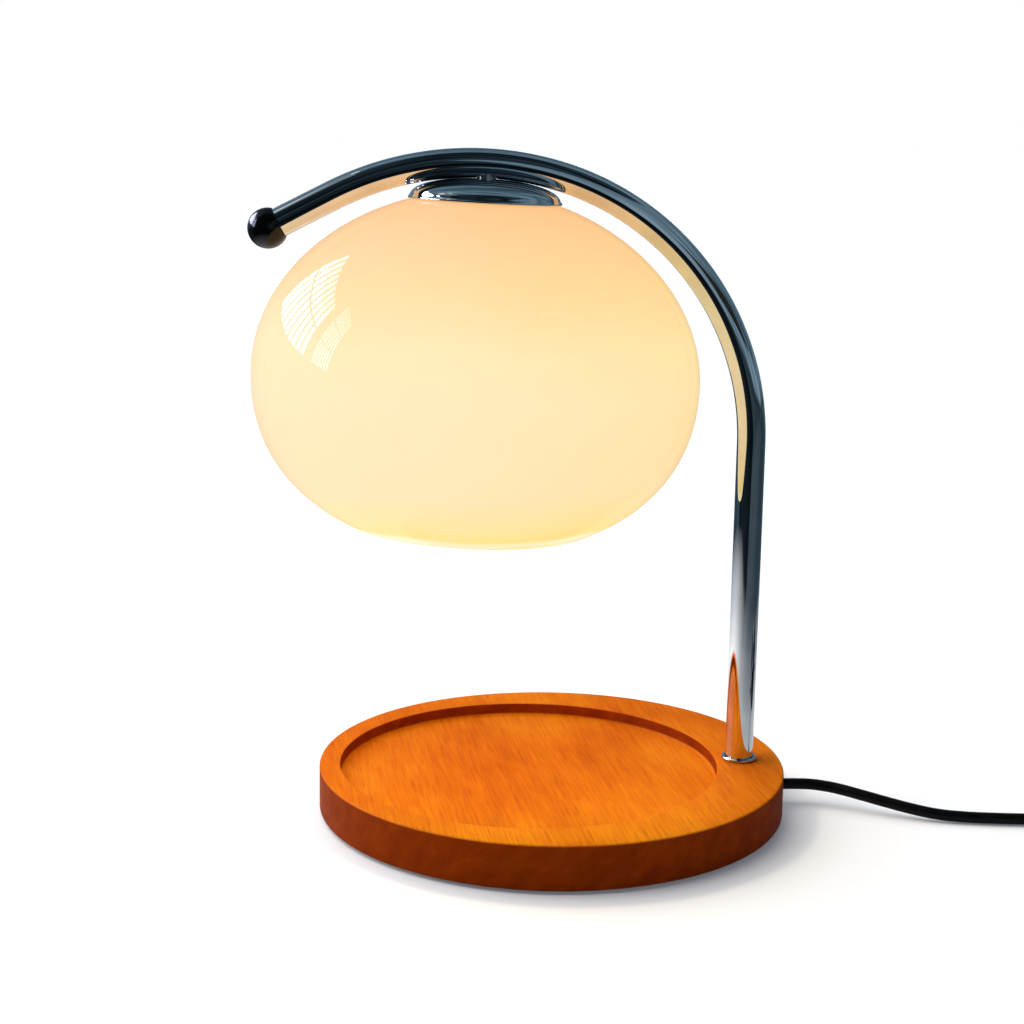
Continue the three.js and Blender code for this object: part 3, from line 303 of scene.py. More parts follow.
def makeBrass(name, low, high):
    # Turned brass: warm yellow with fine concentric tool marks, drawn as fine streaks
    material, tree, shader, coords = newMaterial(name, Metallic=1.0, Roughness=0.25)
    streak = speckle(tree, coords, 0.5, roughness=0.6, longer=(1, 1, 10))
    variedColour(tree, shader, streak, [(0.3, low), (0.7, high)])
    variedRoughness(tree, shader, streak, low=0.2, high=0.36)
    raised(tree, shader, streak, strength=0.10, depth=0.02)
    return material


def makeSteatite():
    # Pressed and fired steatite: chalky white with faint grey specks
    material, tree, shader, coords = newMaterial("firedSteatite", Roughness=0.62, IOR=1.55)
    variedColour(tree, shader, speckle(tree, coords, 0.8, detail=5, roughness=0.7),
                 [(0.28, "#BDB6A8"), (0.42, "#E6E1D6"), (0.75, "#F1EDE4")])
    raised(tree, shader, speckle(tree, coords, 0.4), strength=0.3, depth=0.05)
    return material


def makeNylon(name, low, high):
    # Moulded nylon: slightly translucent, with soft flow marks
    material, tree, shader, coords = newMaterial(name, Roughness=0.45, IOR=1.53, Subsurface_Weight=0.2,
                                                 Subsurface_Scale=0.001)
    flow = speckle(tree, coords, 6, longer=(1, 3.3, 1))
    variedColour(tree, shader, flow, [(0.3, low), (0.7, high)])
    raised(tree, shader, speckle(tree, coords, 0.6, detail=2), strength=0.12, depth=0.02)
    return material


def makeAluminisedGlass():
    # Pressed glass bowl with a vapour-deposited aluminium layer
    material, tree, shader, coords = newMaterial("aluminisedGlass", Metallic=1.0, Roughness=0.12)
    haze = speckle(tree, coords, 2)
    variedColour(tree, shader, haze, [(0.3, "#D9DCDE"), (0.7, "#ECEDEE")])
    variedRoughness(tree, shader, haze, low=0.08, high=0.16)
    raised(tree, shader, speckle(tree, coords, 3, detail=1), strength=0.15, depth=0.1)
    return material


def makeClearGlass():
    # Pressed clear glass: bright, lightly rippled, warm because the bulb behind it is on
    material, tree, shader, coords = newMaterial("pressedClearGlass", Roughness=0.05, IOR=1.5,
                                                 Transmission_Weight=0.85)
    ripple = speckle(tree, coords, 2.5, detail=2)
    variedColour(tree, shader, ripple, [(0.3, "#F3F1EC"), (0.7, "#FDFCFA")])
    shader.inputs["Emission Color"].default_value = toLinear("#FFE2A6")
    shader.inputs["Emission Strength"].default_value = 0.9
    raised(tree, shader, ripple, strength=0.25, depth=0.1)
    return material


def makeLaminate():
    # Glass-fibre laminate of the circuit board: green mask over a fine weave
    material, tree, shader, coords = newMaterial("glassFibreLaminate", Roughness=0.45, IOR=1.5)
    weave = addNode(tree, "ShaderNodeTexChecker", {"Vector": coords, "Scale": perMetre(0.5)})
    variedColour(tree, shader, weave.outputs["Fac"], [(0.0, "#1F4A2B"), (1.0, "#27583A")])
    raised(tree, shader, weave.outputs["Fac"], strength=0.1, depth=0.02)
    return material


def makeGlassSleeve():
    # Braided glass-fibre sleeve of the lamp's lead: cream, with a fine diagonal braid
    material, tree, shader, coords = newMaterial("braidedGlassSleeve", Roughness=0.7, IOR=1.5,
                                                 Sheen_Weight=0.2)
    braid = addNode(tree, "ShaderNodeTexWave", {
        "Vector": coords, "Scale": perMetre(1.2) / 6, "Distortion": 1.5}, bands_direction="DIAGONAL")
    variedColour(tree, shader, braid.outputs["Fac"], [(0.2, "#BDB6A3"), (0.8, "#DCD6C6")])
    raised(tree, shader, braid.outputs["Fac"], strength=0.4, depth=0.1)
    return material


def makeHookTape():
    # Woven nylon hook-and-loop tape: matte black with fuzzy loops
    material, tree, shader, coords = newMaterial("hookAndLoopTape", Roughness=0.95, IOR=1.5,
                                                 Sheen_Weight=0.5, Sheen_Roughness=0.4)
    loops = addNode(tree, "ShaderNodeTexVoronoi", {"Vector": coords, "Scale": perMetre(0.6)})
    variedColour(tree, shader, loops.outputs["Distance"], [(0.1, "#242427"), (0.7, "#0F0F10")])
    raised(tree, shader, loops.outputs["Distance"], strength=0.7, depth=0.12)
    return material


stainedBeech = makeStainedBeech()
platedChrome = makeChrome()
blackLacquer = makeBlackLacquer()
mouldedAbs = makeMouldedPlastic("mouldedAbs", "#0F0F11", "#19191B", 0.5, 0.35)
mouldedPvc = makeMouldedPlastic("mouldedPvc", "#0C0C0D", "#151516", 0.42, 0.6)
litOpalGlass = makeOpalGlass()
pvcCordJacket = makeCordJacket()
evaFoam = makeFoam()
siliconeRubber = makeSilicone()
zincPlatedSteel = makeZincSteel()
turnedBrass = makeBrass("turnedBrass", "#B8913F", "#D3AF62")
nickelBrass = makeBrass("nickelPlatedBrass", "#B9B3A4", "#D0CBBF")
firedSteatite = makeSteatite()
naturalNylon = makeNylon("naturalNylon", "#D8D4CA", "#E8E5DD")
blackNylon = makeNylon("blackNylon", "#101011", "#1A1A1C")
aluminisedGlass = makeAluminisedGlass()
pressedClearGlass = makeClearGlass()
glassFibreLaminate = makeLaminate()
braidedGlassSleeve = makeGlassSleeve()
hookAndLoopTape = makeHookTape()
print("materials made:", len(bpy.data.materials))


# Mesh tools

def newPiece(name, verts, faces, material, body, slot, replaced):
    mesh = bpy.data.meshes.new(name)
    mesh.from_pydata([point(*v) for v in verts], [], faces)
    mesh.validate()
    mesh.materials.append(material)
    piece = bpy.data.objects.new(name, mesh)
    scene.collection.objects.link(piece)
    smoothByAngle(piece)
    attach(piece, body)
    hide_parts(*replaced)
    return piece


def smoothByAngle(piece, degrees=32):
    piece.data.polygons.foreach_set("use_smooth", [True] * len(piece.data.polygons))
    piece.data.set_sharp_from_angle(angle=math.radians(degrees))
    piece.data.update()


def arcPoints(x, y, radius, start, end, steps):
    angles = [math.radians(start + (end - start) * i / steps) for i in range(steps + 1)]
    return [(x + radius * math.cos(a), y + radius * math.sin(a)) for a in angles]


def turnedShape(profile, sides, closed=False):
    # Profile of (radius, height), anticlockwise; its ends lie on the axis unless it is closed
    verts, faces, rings = [], [], []
    for radius, height in profile:
        if radius < 1e-6:
            rings.append([len(verts)])
            verts.append((0, 0, height))
        else:
            rings.append(list(range(len(verts), len(verts) + sides)))
            verts += [(radius * math.cos(2 * math.pi * i / sides),
                       radius * math.sin(2 * math.pi * i / sides), height) for i in range(sides)]
    pairs = list(zip(rings, rings[1:])) + ([(rings[-1], rings[0])] if closed else [])
    for low, high in pairs:
        for i in range(sides):
            j = (i + 1) % sides
            if len(low) == 1 and len(high) > 1:
                faces.append((low[0], high[j], high[i]))
            elif len(high) == 1 and len(low) > 1:
                faces.append((low[i], low[j], high[0]))
            elif len(low) > 1:
                faces.append((low[i], low[j], high[j], high[i]))
    return verts, faces


def moved(shape, matrix):
    verts, faces = shape
    return [tuple(matrix @ Vector(v)) for v in verts], faces


def cutShape(piece, *tools):
    # Exact boolean cuts, applied at once
    for verts, faces in tools:
        mesh = bpy.data.meshes.new("cutter")
        mesh.from_pydata([point(*v) for v in verts], [], faces)
        cutter = bpy.data.objects.new("cutter", mesh)
        scene.collection.objects.link(cutter)
        modifier = piece.modifiers.new("cut", "BOOLEAN")
        modifier.object = cutter
        modifier.solver = "EXACT"
        depsgraph = bpy.context.evaluated_depsgraph_get()
        result = bpy.data.meshes.new_from_object(piece.evaluated_get(depsgraph))
        piece.modifiers.clear()
        old = piece.data
        piece.data = result
        result.name = old.name
        bpy.data.meshes.remove(old)
        bpy.data.objects.remove(cutter)
        bpy.data.meshes.remove(mesh)
    smoothByAngle(piece)


def discShape(radius, bottom, top, sides=48):
    return turnedShape([(0, bottom), (radius, bottom), (radius, top), (0, top)], sides)


def roundedOutline(x0, y0, x1, y1, corner, steps=8):
    points = arcPoints(x1 - corner, y0 + corner, corner, -90, 0, steps)
    points += arcPoints(x1 - corner, y1 - corner, corner, 0, 90, steps)
    points += arcPoints(x0 + corner, y1 - corner, corner, 90, 180, steps)
    return points + arcPoints(x0 + corner, y0 + corner, corner, 180, 270, steps)


def slabShape(outline, bottom, top):
    count = len(outline)
    verts = [(x, y, bottom) for x, y in outline] + [(x, y, top) for x, y in outline]
    faces = [(i, (i + 1) % count, count + (i + 1) % count, count + i) for i in range(count)]
    faces += [tuple(reversed(range(count))), tuple(range(count, 2 * count))]
    return verts, faces


def softened(piece, width, segments=2, degrees=40):
    bevel = piece.modifiers.new("softEdges", "BEVEL")
    bevel.width = width * mm
    bevel.segments = segments
    bevel.limit_method = "ANGLE"
    bevel.angle_limit = math.radians(degrees)


# Cords, first because their room is checked against the view

cord = {"radius": 2.4, "baseEdge": 100, "coilX": 156, "coilY": 0.9, "outerTurn": 32.9,
        "secondTurn": 27.8, "innerTurn": 23.0, "rowHeights": (3.4, 8.2, 13.0), "topHeight": 18.1}

# Route points of the free cords, measured from the edge of the base
leadOutRoute = [
    (0.1, 0, 8.2), (4.1, 0, 8.2), (9, -0.1, 8.2), (14, -0.7, 8.15), (19.3, -2.4, 8),
    (24.6, -4.9, 7.7), (34.2, -11, 6.8), (43.9, -16.3, 5.45), (54, -21.2, 4.1), (63.8, -24.9, 3.05),
    (74.2, -27.2, 2.6), (87, -29, 2.5), (100.2, -30.3, 2.5), (113, -31.4, 2.5), (125, -32, 2.6),
    (137, -32, 2.9), (147, -32, 3.3),
]
toDimmerRoute = [
    (146.5, -31.9, 8.1), (154.2, -36.8, 7.2), (162.3, -41.8, 5.4), (170.8, -47.1, 3.7),
    (179.3, -52.4, 2.8), (183.4, -55.1, 2.6), (190.5, -57.8, 2.5), (199.2, -57.4, 2.8),
    (206.9, -53.4, 4), (212.1, -46.6, 6), (213.8, -42.5, 7), (214, -38.5, 7.2), (214, -34, 7.2),
    (214, -28, 7.2), (214, -18.6, 7.2),
]
fromDimmerRoute = [
    (214, 36.4, 7.2), (214, 48, 7.2), (214, 57, 7.2), (213.6, 60.8, 6.8), (212.1, 64.8, 5.8),
    (206.9, 71.2, 4), (199.2, 75.2, 3.4), (190.5, 75.6, 3.6), (182.5, 72.3, 4.3),
    (176.4, 66.1, 5.4), (169, 57.7, 7.4), (161.5, 49.1, 10.2), (154.2, 40.9, 12.8),
    (146.3, 31.9, 13.7), (140.4, 25.2, 13.3),
]
toPlugRoute = [
    (133, -4, 18.2), (133, -14, 18.2), (133, -22, 18), (133, -30, 15.7), (133, -38, 12.1),
    (133, -46, 8.4), (133, -54, 5.2), (133, -61, 3.3), (134.2, -68.8, 2.6), (138.9, -76.1, 2.5),
    (146.2, -80.8, 2.9), (152, -82, 3.9), (158, -82, 5.5), (163.6, -82, 6.25),
]


def coilPoints(start, legs):
    # legs: (degrees turned, radius and height at the leg's end); 18 points to a turn
    points = []
    azimuth, radius, height = start
    for degrees, endRadius, endHeight in legs:
        steps = max(2, round(degrees / 20))
        for i in range(1, steps + 1):
            share = i / steps
            ease = share * share * (3 - 2 * share)
            angle = math.radians(azimuth + degrees * share)
            r = radius + (endRadius - radius) * ease
            points.append((cord["coilX"] + r * math.cos(angle), cord["coilY"] + r * math.sin(angle),
                           height + (endHeight - height) * ease))
        azimuth, radius, height = azimuth + degrees, endRadius, endHeight
    return points


def cordPiece(name, route, replaced):
    curve = bpy.data.curves.new(name, "CURVE")
    curve.dimensions = "3D"
    curve.bevel_depth = cord["radius"] * mm
    curve.bevel_resolution = 6
    curve.resolution_u = 6
    curve.use_fill_caps = True
    spline = curve.splines.new("BEZIER")
    spline.bezier_points.add(len(route) - 1)
    for knot, place in zip(spline.bezier_points, route):
        knot.co = point(*place) + point(cord["baseEdge"], 0, 0)
        knot.handle_left_type = knot.handle_right_type = "AUTO"
    piece = bpy.data.objects.new(name, curve)
    scene.collection.objects.link(piece)
    curve.materials.append(pvcCordJacket)
    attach(piece, "lamp")
    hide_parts(*replaced)
    return piece


low, middle, top = cord["rowHeights"]
outer, second, inner = cord["outerTurn"], cord["secondTurn"], cord["innerTurn"]
outerRing = coilPoints((-90, outer, low), [(300, outer, low), (60, outer, middle), (312, outer, middle)])
innerRing = coilPoints((138.7, second, top), [
    (300, second, top), (60, second, middle), (300, second, middle), (60, second, low),
    (300, second, low), (60, inner, low), (300, inner, low), (60, inner, middle), (160, inner, middle),
    (200, inner, cord["topHeight"])])
coilStart = (cord["coilX"], cord["coilY"] - outer, low)
lampCord = cordPiece("lampCord", leadOutRoute + [coilStart] + outerRing[:-1] + toDimmerRoute,
                     ["cord_lead_out", "cord_coil_outer", "cord_to_dimmer"])
plugCord = cordPiece("plugCord", fromDimmerRoute + innerRing + toPlugRoute,
                     ["cord_from_dimmer", "cord_coil_inner", "cord_to_plug"])
print("cords laid")


# Stage: floor, background and light

stage = {"floor": "#EEF0F4", "floorLift": 0.12, "liftColour": "#EDF6FF", "floorHalf": 60000,
         "floorDrop": 0.15, "worldColour": "#E2EBFB", "worldLight": 0.16, "sunLight": 4.12,
         "sunSpread": 88, "sunColour": (1.0, 0.99, 0.97), "sunFrom": (-0.69, 0.52, 0.88)}


def seenRays(tree):
    # 1 for camera, glossy and transmission rays, so that mirrors and glass show the white too
    rays = addNode(tree, "ShaderNodeLightPath")
    first = addNode(tree, "ShaderNodeMath", {
        0: rays.outputs["Is Camera Ray"], 1: rays.outputs["Is Glossy Ray"]}, operation="MAXIMUM")
    return addNode(tree, "ShaderNodeMath", {
        0: first.outputs[0], 1: rays.outputs["Is Transmission Ray"]}, operation="MAXIMUM").outputs[0]


def makeWorld():
    world = bpy.data.worlds.new("paleStudio")
    scene.world = world
    world.use_nodes = True
    tree = world.node_tree
    tree.nodes.clear()
    level = addNode(tree, "ShaderNodeBackground", {
        "Color": toLinear(stage["worldColour"]), "Strength": stage["worldLight"]})
    white = addNode(tree, "ShaderNodeBackground", {"Color": (1, 1, 1, 1), "Strength": 1.0})
    mix = addNode(tree, "ShaderNodeMixShader", {
        0: seenRays(tree), 1: level.outputs[0], 2: white.outputs[0]})
    addNode(tree, "ShaderNodeOutputWorld", {"Surface": mix.outputs[0]})


def makeFloor():
    # Pale board whose own colour is white to the eye, and which still takes the lamp's shadow
    size = stage["floorHalf"]
    mesh = bpy.data.meshes.new("studioFloor")
    corners = [(-size, -size), (size, -size), (size, size), (-size, size)]
    mesh.from_pydata([point(x, y, -stage["floorDrop"]) for x, y in corners], [], [(0, 1, 2, 3)])
    floor = bpy.data.objects.new("studioFloor", mesh)
    scene.collection.objects.link(floor)
    material, tree, shader = newMaterial("paintedFloor", Roughness=0.9)[:3]
    shader.inputs["Base Color"].default_value = toLinear(stage["floor"])
    shader.inputs["Specular IOR Level"].default_value = 0.0
    lift = addNode(tree, "ShaderNodeEmission", {"Color": toLinear(stage["liftColour"])})
    strength = addNode(tree, "ShaderNodeMath", {0: seenRays(tree), 1: stage["floorLift"]},
                       operation="MULTIPLY")
    tree.links.new(strength.outputs[0], lift.inputs["Strength"])
    both = addNode(tree, "ShaderNodeAddShader", {0: shader.outputs[0], 1: lift.outputs[0]})
    tree.links.new(both.outputs[0], tree.nodes["Material Output"].inputs["Surface"])
    mesh.materials.append(material)


def makeLamps():
    sun = bpy.data.lights.new("softTopLight", "SUN")
    sun.energy = stage["sunLight"]
    sun.angle = math.radians(stage["sunSpread"])
    sun.color = stage["sunColour"]
    sunObject = bpy.data.objects.new("softTopLight", sun)
    scene.collection.objects.link(sunObject)
    sunObject.rotation_euler = Vector(stage["sunFrom"]).to_track_quat("Z", "Y").to_euler()
    sunObject.visible_glossy = False


def stageCard(name, shape):
    # Stage piece that is seen only in reflections
    verts, faces = shape
    mesh = bpy.data.meshes.new(name)
    mesh.from_pydata([point(*v) for v in verts], [], faces)
    card = bpy.data.objects.new(name, mesh)
    scene.collection.objects.link(card)
    material = bpy.data.materials.new(name + "Glow")
    material.use_nodes = True
    material.node_tree.nodes.clear()
    mesh.materials.append(material)
    for ray in ("visible_camera", "visible_diffuse", "visible_transmission", "visible_volume_scatter",
                "visible_shadow"):
        setattr(card, ray, False)
    return material.node_tree


# Edges are given as the Map Range node reads them: those of a direction on a unit length, and those on
# the table in metres
flags = {
    "room": 6000, "height": 1, "nearEdge": 104, "farEdge": 1200, "sides": 72, "streakSize": 1500,
    "behind": {"From Min": -0.06, "From Max": 0.02},
    "ceilingSlope": -0.55, "underCeiling": {"From Min": 0.45, "From Max": 0.40},
    "cornerSlope": 2.4, "pastCorner": {"From Min": 0.33, "From Max": 0.43},
    "leftward": {"From Min": -0.15, "From Max": -0.45, "To Max": 0.10},
    "farFloor": {"From Min": -0.1, "From Max": 0.4, "To Min": 0.22, "To Max": 0.5},
    "overHorizon": {"From Min": 0.0, "From Max": 0.03},
    "tableLevel": 0.70, "perMetreRight": -1.2, "perMetreBack": 1.2,
    "fromRight": {"From Min": 0.44, "From Max": 0.38},
    "fromFront": {"From Min": -0.40, "From Max": -0.33},
    "fromCentre": {"From Min": 0.52, "From Max": 0.18},
    "dark": [(0.40, "#05080A"), (0.50, "#10181C"), (0.60, "#26343C"), (0.72, "#364954")],
    "steel": [(0.34, "#3A4B57"), (0.46, "#56707F"), (0.58, "#6C8492"), (0.68, "#8A9FAB")],
}


def makeFlags():
    # The room round the table as shiny parts see it: steel blue walls behind and to the right, a dark
    # ceiling and front, and a table top that loses its light towards the front right
    room, height = flags["room"], flags["height"]
    outline = [(flags["nearEdge"], height), (flags["farEdge"], height)]
    outline += arcPoints(0, height, room, 0, 90, 24)[:-1] + [(0, room)]
    tree = stageCard("studioFlags", turnedShape(outline, flags["sides"]))
    coords = addNode(tree, "ShaderNodeTexCoord").outputs["Object"]
    place = addNode(tree, "ShaderNodeSeparateXYZ", {"Vector": coords})
    heading = addNode(tree, "ShaderNodeVectorMath", {0: coords}, operation="NORMALIZE")
    side = addNode(tree, "ShaderNodeSeparateXYZ", {"Vector": heading.outputs[0]})

    behind = addNode(tree, "ShaderNodeMapRange", {"Value": side.outputs["Y"], **flags["behind"]})
    ceilingEdge = addNode(tree, "ShaderNodeMath", {
        0: side.outputs["X"], 1: flags["ceilingSlope"], 2: side.outputs["Z"]}, operation="MULTIPLY_ADD")
    underCeiling = addNode(tree, "ShaderNodeMapRange", {
        "Value": ceilingEdge.outputs[0], **flags["underCeiling"]})
    cornerEdge = addNode(tree, "ShaderNodeMath", {
        0: side.outputs["X"], 1: flags["cornerSlope"], 2: side.outputs["Z"]}, operation="MULTIPLY_ADD")
    pastCorner = addNode(tree, "ShaderNodeMapRange", {
        "Value": cornerEdge.outputs[0], **flags["pastCorner"]})
    rightWall = addNode(tree, "ShaderNodeMath", {
        0: underCeiling.outputs[0], 1: pastCorner.outputs[0]}, operation="MULTIPLY")
    walls = addNode(tree, "ShaderNodeMath", {
        0: behind.outputs[0], 1: rightWall.outputs[0]}, operation="MAXIMUM")

    streak = speckle(tree, coords, flags["streakSize"], longer=(3.0, 1, 1))
    leftward = addNode(tree, "ShaderNodeMapRange", {"Value": side.outputs["X"], **flags["leftward"]})
    lifted = addNode(tree, "ShaderNodeMath", {0: streak, 1: leftward.outputs[0]}, operation="ADD")
    dark = addNode(tree, "ShaderNodeValToRGB", {"Fac": lifted.outputs[0]})
    setStops(dark, flags["dark"])
    steel = addNode(tree, "ShaderNodeValToRGB", {"Fac": streak})
    setStops(steel, flags["steel"])
    cloth = addNode(tree, "ShaderNodeMix", {
        "Factor": walls.outputs[0], 6: dark.outputs["Color"], 7: steel.outputs["Color"]}, data_type="RGBA")
    farFloor = addNode(tree, "ShaderNodeMapRange", {"Value": side.outputs["Y"], **flags["farFloor"]})
    ground = addNode(tree, "ShaderNodeMapRange", {
        "Value": side.outputs["Z"], "To Min": farFloor.outputs["Result"], **flags["overHorizon"]})
    glow = addNode(tree, "ShaderNodeEmission", {"Color": cloth.outputs[2], "Strength": ground.outputs[0]})

    # How much of the pale table is left at each place on it
    across = addNode(tree, "ShaderNodeMath", {
        0: place.outputs["X"], 1: flags["perMetreRight"], 2: flags["tableLevel"]}, operation="MULTIPLY_ADD")
    shown = addNode(tree, "ShaderNodeMath", {
        0: place.outputs["Y"], 1: flags["perMetreBack"], 2: across.outputs[0]},
        operation="MULTIPLY_ADD", use_clamp=True)
    reach = addNode(tree, "ShaderNodeVectorMath", {0: coords}, operation="LENGTH")
    for edge, value in (("fromRight", place.outputs["X"]), ("fromFront", place.outputs["Y"]),
                        ("fromCentre", reach.outputs["Value"])):
        mask = addNode(tree, "ShaderNodeMapRange", {"Value": value, **flags[edge]})
        shown = addNode(tree, "ShaderNodeMath", {0: shown.outputs[0], 1: mask.outputs[0]},
                        operation="MULTIPLY")
    clear = addNode(tree, "ShaderNodeBsdfTransparent")
    mix = addNode(tree, "ShaderNodeMixShader", {
        0: shown.outputs[0], 1: glow.outputs[0], 2: clear.outputs[0]})
    addNode(tree, "ShaderNodeOutputMaterial", {"Surface": mix.outputs[0]})


def makeGlowCard(name, corners, strength, colour="#FFFFFF", panes=(1, 1), bars=(0, 0), fade=None):
    # Shining card of a few panes; its corners run round it, bars are the shares of a pane's width and
    # height left out along its edges, and fade is (start height, end height, share of light left)
    a, b, c, d = [Vector(corner) for corner in corners]
    verts, faces = [], []
    across, down = panes
    for i in range(across):
        for j in range(down):
            u0, u1 = (i + bars[0]) / across, (i + 1 - bars[0]) / across
            v0, v1 = (j + bars[1]) / down, (j + 1 - bars[1]) / down
            for u, v in ((u0, v0), (u1, v0), (u1, v1), (u0, v1)):
                verts.append(tuple((a.lerp(b, u)).lerp(d.lerp(c, u), v)))
            faces.append(tuple(range(len(verts) - 4, len(verts))))
    tree = stageCard(name, (verts, faces))
    glow = addNode(tree, "ShaderNodeEmission", {"Color": toLinear(colour), "Strength": strength})
    if fade:
        low, high, share = fade
        coords = addNode(tree, "ShaderNodeTexCoord").outputs["Object"]
        height = addNode(tree, "ShaderNodeSeparateXYZ", {"Vector": coords}).outputs["Z"]
        level = addNode(tree, "ShaderNodeMapRange", {
            "Value": height, "From Min": low * mm, "From Max": high * mm, "To Min": strength,
            "To Max": strength * share})
        tree.links.new(level.outputs["Result"], glow.inputs["Strength"])
    addNode(tree, "ShaderNodeOutputMaterial", {"Surface": glow.outputs[0]})


# Barred window to the left, in a low and a high part, and a narrower one beside it; then a narrow roof
# light over the free end of the tube, with its fainter surround, and a dark shelf in front
glowCards = {
    "windowLow": {
        "corners": [(-855, 1006, 538), (-1376, 171, 446), (-1375, 180, 796), (-875, 991, 931)],
        "strength": 30.0, "colour": "#D2D6FF", "panes": (9, 1), "bars": (0.15, 0)},
    "windowHigh": {
        "corners": [(-875, 991, 951), (-1375, 180, 815), (-1373, 189, 1195), (-895, 976, 1337)],
        "strength": 36.0, "colour": "#D2D6FF", "panes": (9, 2), "bars": (0.15, 0.02),
        "fade": (900, 1250, 0.45)},
    "windowSide": {
        "corners": [(-1307, 29, 403), (-1292, -247, 336), (-1288, -271, 1082), (-1307, 22, 1309)],
        "strength": 30.0, "colour": "#D2D6FF", "panes": (7, 3), "bars": (0.24, 0.03),
        "fade": (500, 1250, 0.6)},
    "roofLight": {
        "corners": [(-530, 130, 1370), (-530, 270, 1346), (-844, 240, 1172), (-844, 90, 1196)],
        "strength": 1.1, "colour": "#F4FAFC"},
    "roofFrame": {
        "corners": [(-560, -190, 1376), (-560, 430, 1300), (-844, 400, 1172), (-844, -180, 1215)],
        "strength": 0.34, "colour": "#C9DCEA"},
    "darkShelf": {
        "corners": [(855, -1272, 436), (1509, -388, 436), (1509, -388, 801), (855, -1272, 801)],
        "strength": 0.02},
}

makeWorld()
makeFloor()
makeLamps()
makeFlags()
for name, card in glowCards.items():
    makeGlowCard(name, **card)
print("stage set")


# Wooden base

base = {"radius": 100, "bottom": 1.3, "top": 20, "edge": 1.0, "dishX": -9.8, "dishRadius": 81.2,
        "dishDepth": 5.3, "dishFillet": 1.2, "dishLip": 0.5, "sides": 240, "columnX": 82.1}
# What is cut from below: outlines are (x0, y0, x1, y1), and tops are heights over the table
underside = {
    "pocket": (38, -14.5, 91.9, 14.5), "pocketCorner": 8, "pocketTop": 10.9,
    "coverSeat": (34, -20.5, 95.9, 20.5), "seatCorner": 12, "seatTop": 3.1,
    "nutRadius": 9.8, "nutTop": 16, "pipeRadius": 4.8,
    "cordRadius": 4.3, "cordX": 89.9, "cordZ": 8.2, "cordDepth": 14,
    "pilotRadius": 1.4, "coverX": 65, "coverReach": (14, 17.2), "coverPilotTop": 9.8,
    "clampX": 69.9, "clampY": (1.8, 12.2), "clampPilotTop": 13.6, "overrun": 2,
}


def makeBase():
    r, z0, z1, e = base["radius"], base["bottom"], base["top"], base["edge"]
    profile = [(0, z0)] + arcPoints(r - e, z0 + e, e, -90, 0, 6)
    profile += arcPoints(r - e, z1 - e, e, 0, 90, 6) + [(0, z1)]
    piece = newPiece("woodenBase", *turnedShape(profile, base["sides"]), stainedBeech, "lamp",
                     "stained_wood", ["base_disc"])
    over, below = underside["overrun"], z0 - underside["overrun"]
    floorZ, fillet = z1 - base["dishDepth"], base["dishFillet"]
    lip, dish = base["dishLip"], base["dishRadius"]
    dishProfile = [(0, floorZ)] + arcPoints(dish - fillet, floorZ + fillet, fillet, -90, 0, 6)
    dishProfile += [(dish + (lip - lip * math.cos(a)), z1 - lip + lip * math.sin(a))
                    for a in (0, 0.4, 0.8, 1.2, 1.571)]
    dishProfile += [(dish + lip, z1 + over), (0, z1 + over)]
    toDish = Matrix.Translation((base["dishX"], 0, 0))
    toColumn = Matrix.Translation((base["columnX"], 0, 0))
    toCord = Matrix.Translation((underside["cordX"], 0, underside["cordZ"]))

    def pilot(x, y, top):
        return moved(discShape(underside["pilotRadius"], z0 - over / 2, top, 16),
                     Matrix.Translation((x, y, 0)))

    reachX, reachY = underside["coverReach"]
    pilots = [pilot(underside["coverX"] + x, y, underside["coverPilotTop"])
              for x in (-reachX, reachX) for y in (-reachY, reachY)]
    pilots += [pilot(underside["clampX"], y, underside["clampPilotTop"]) for y in underside["clampY"]]
    cutShape(
        piece,
        moved(turnedShape(dishProfile, base["sides"]), toDish),
        slabShape(roundedOutline(*underside["pocket"], underside["pocketCorner"]), below,
                  underside["pocketTop"]),
        slabShape(roundedOutline(*underside["coverSeat"], underside["seatCorner"]), below,
                  underside["seatTop"]),
        moved(discShape(underside["nutRadius"], below, underside["nutTop"]), toColumn),
        moved(discShape(underside["pipeRadius"], underside["nutTop"] - over, z1 + over), toColumn),
        moved(discShape(underside["cordRadius"], 0, underside["cordDepth"], 32),
              toCord @ Matrix.Rotation(math.pi / 2, 4, "Y")),
        *pilots,
    )


makeBase()
print("base turned")


# Bent tube, collar and ball

arch = {"radius": 6, "wall": 1.2, "columnX": base["columnX"], "footZ": 20.1, "top": 280,
        "lowerBend": 114.3, "lowerAngle": 72.4, "upperBend": 126.4, "wholeAngle": 117, "tail": 24,
        "hangTilt": 2.4, "sides": 64, "hangHole": (4.3, -8, -2.5)}


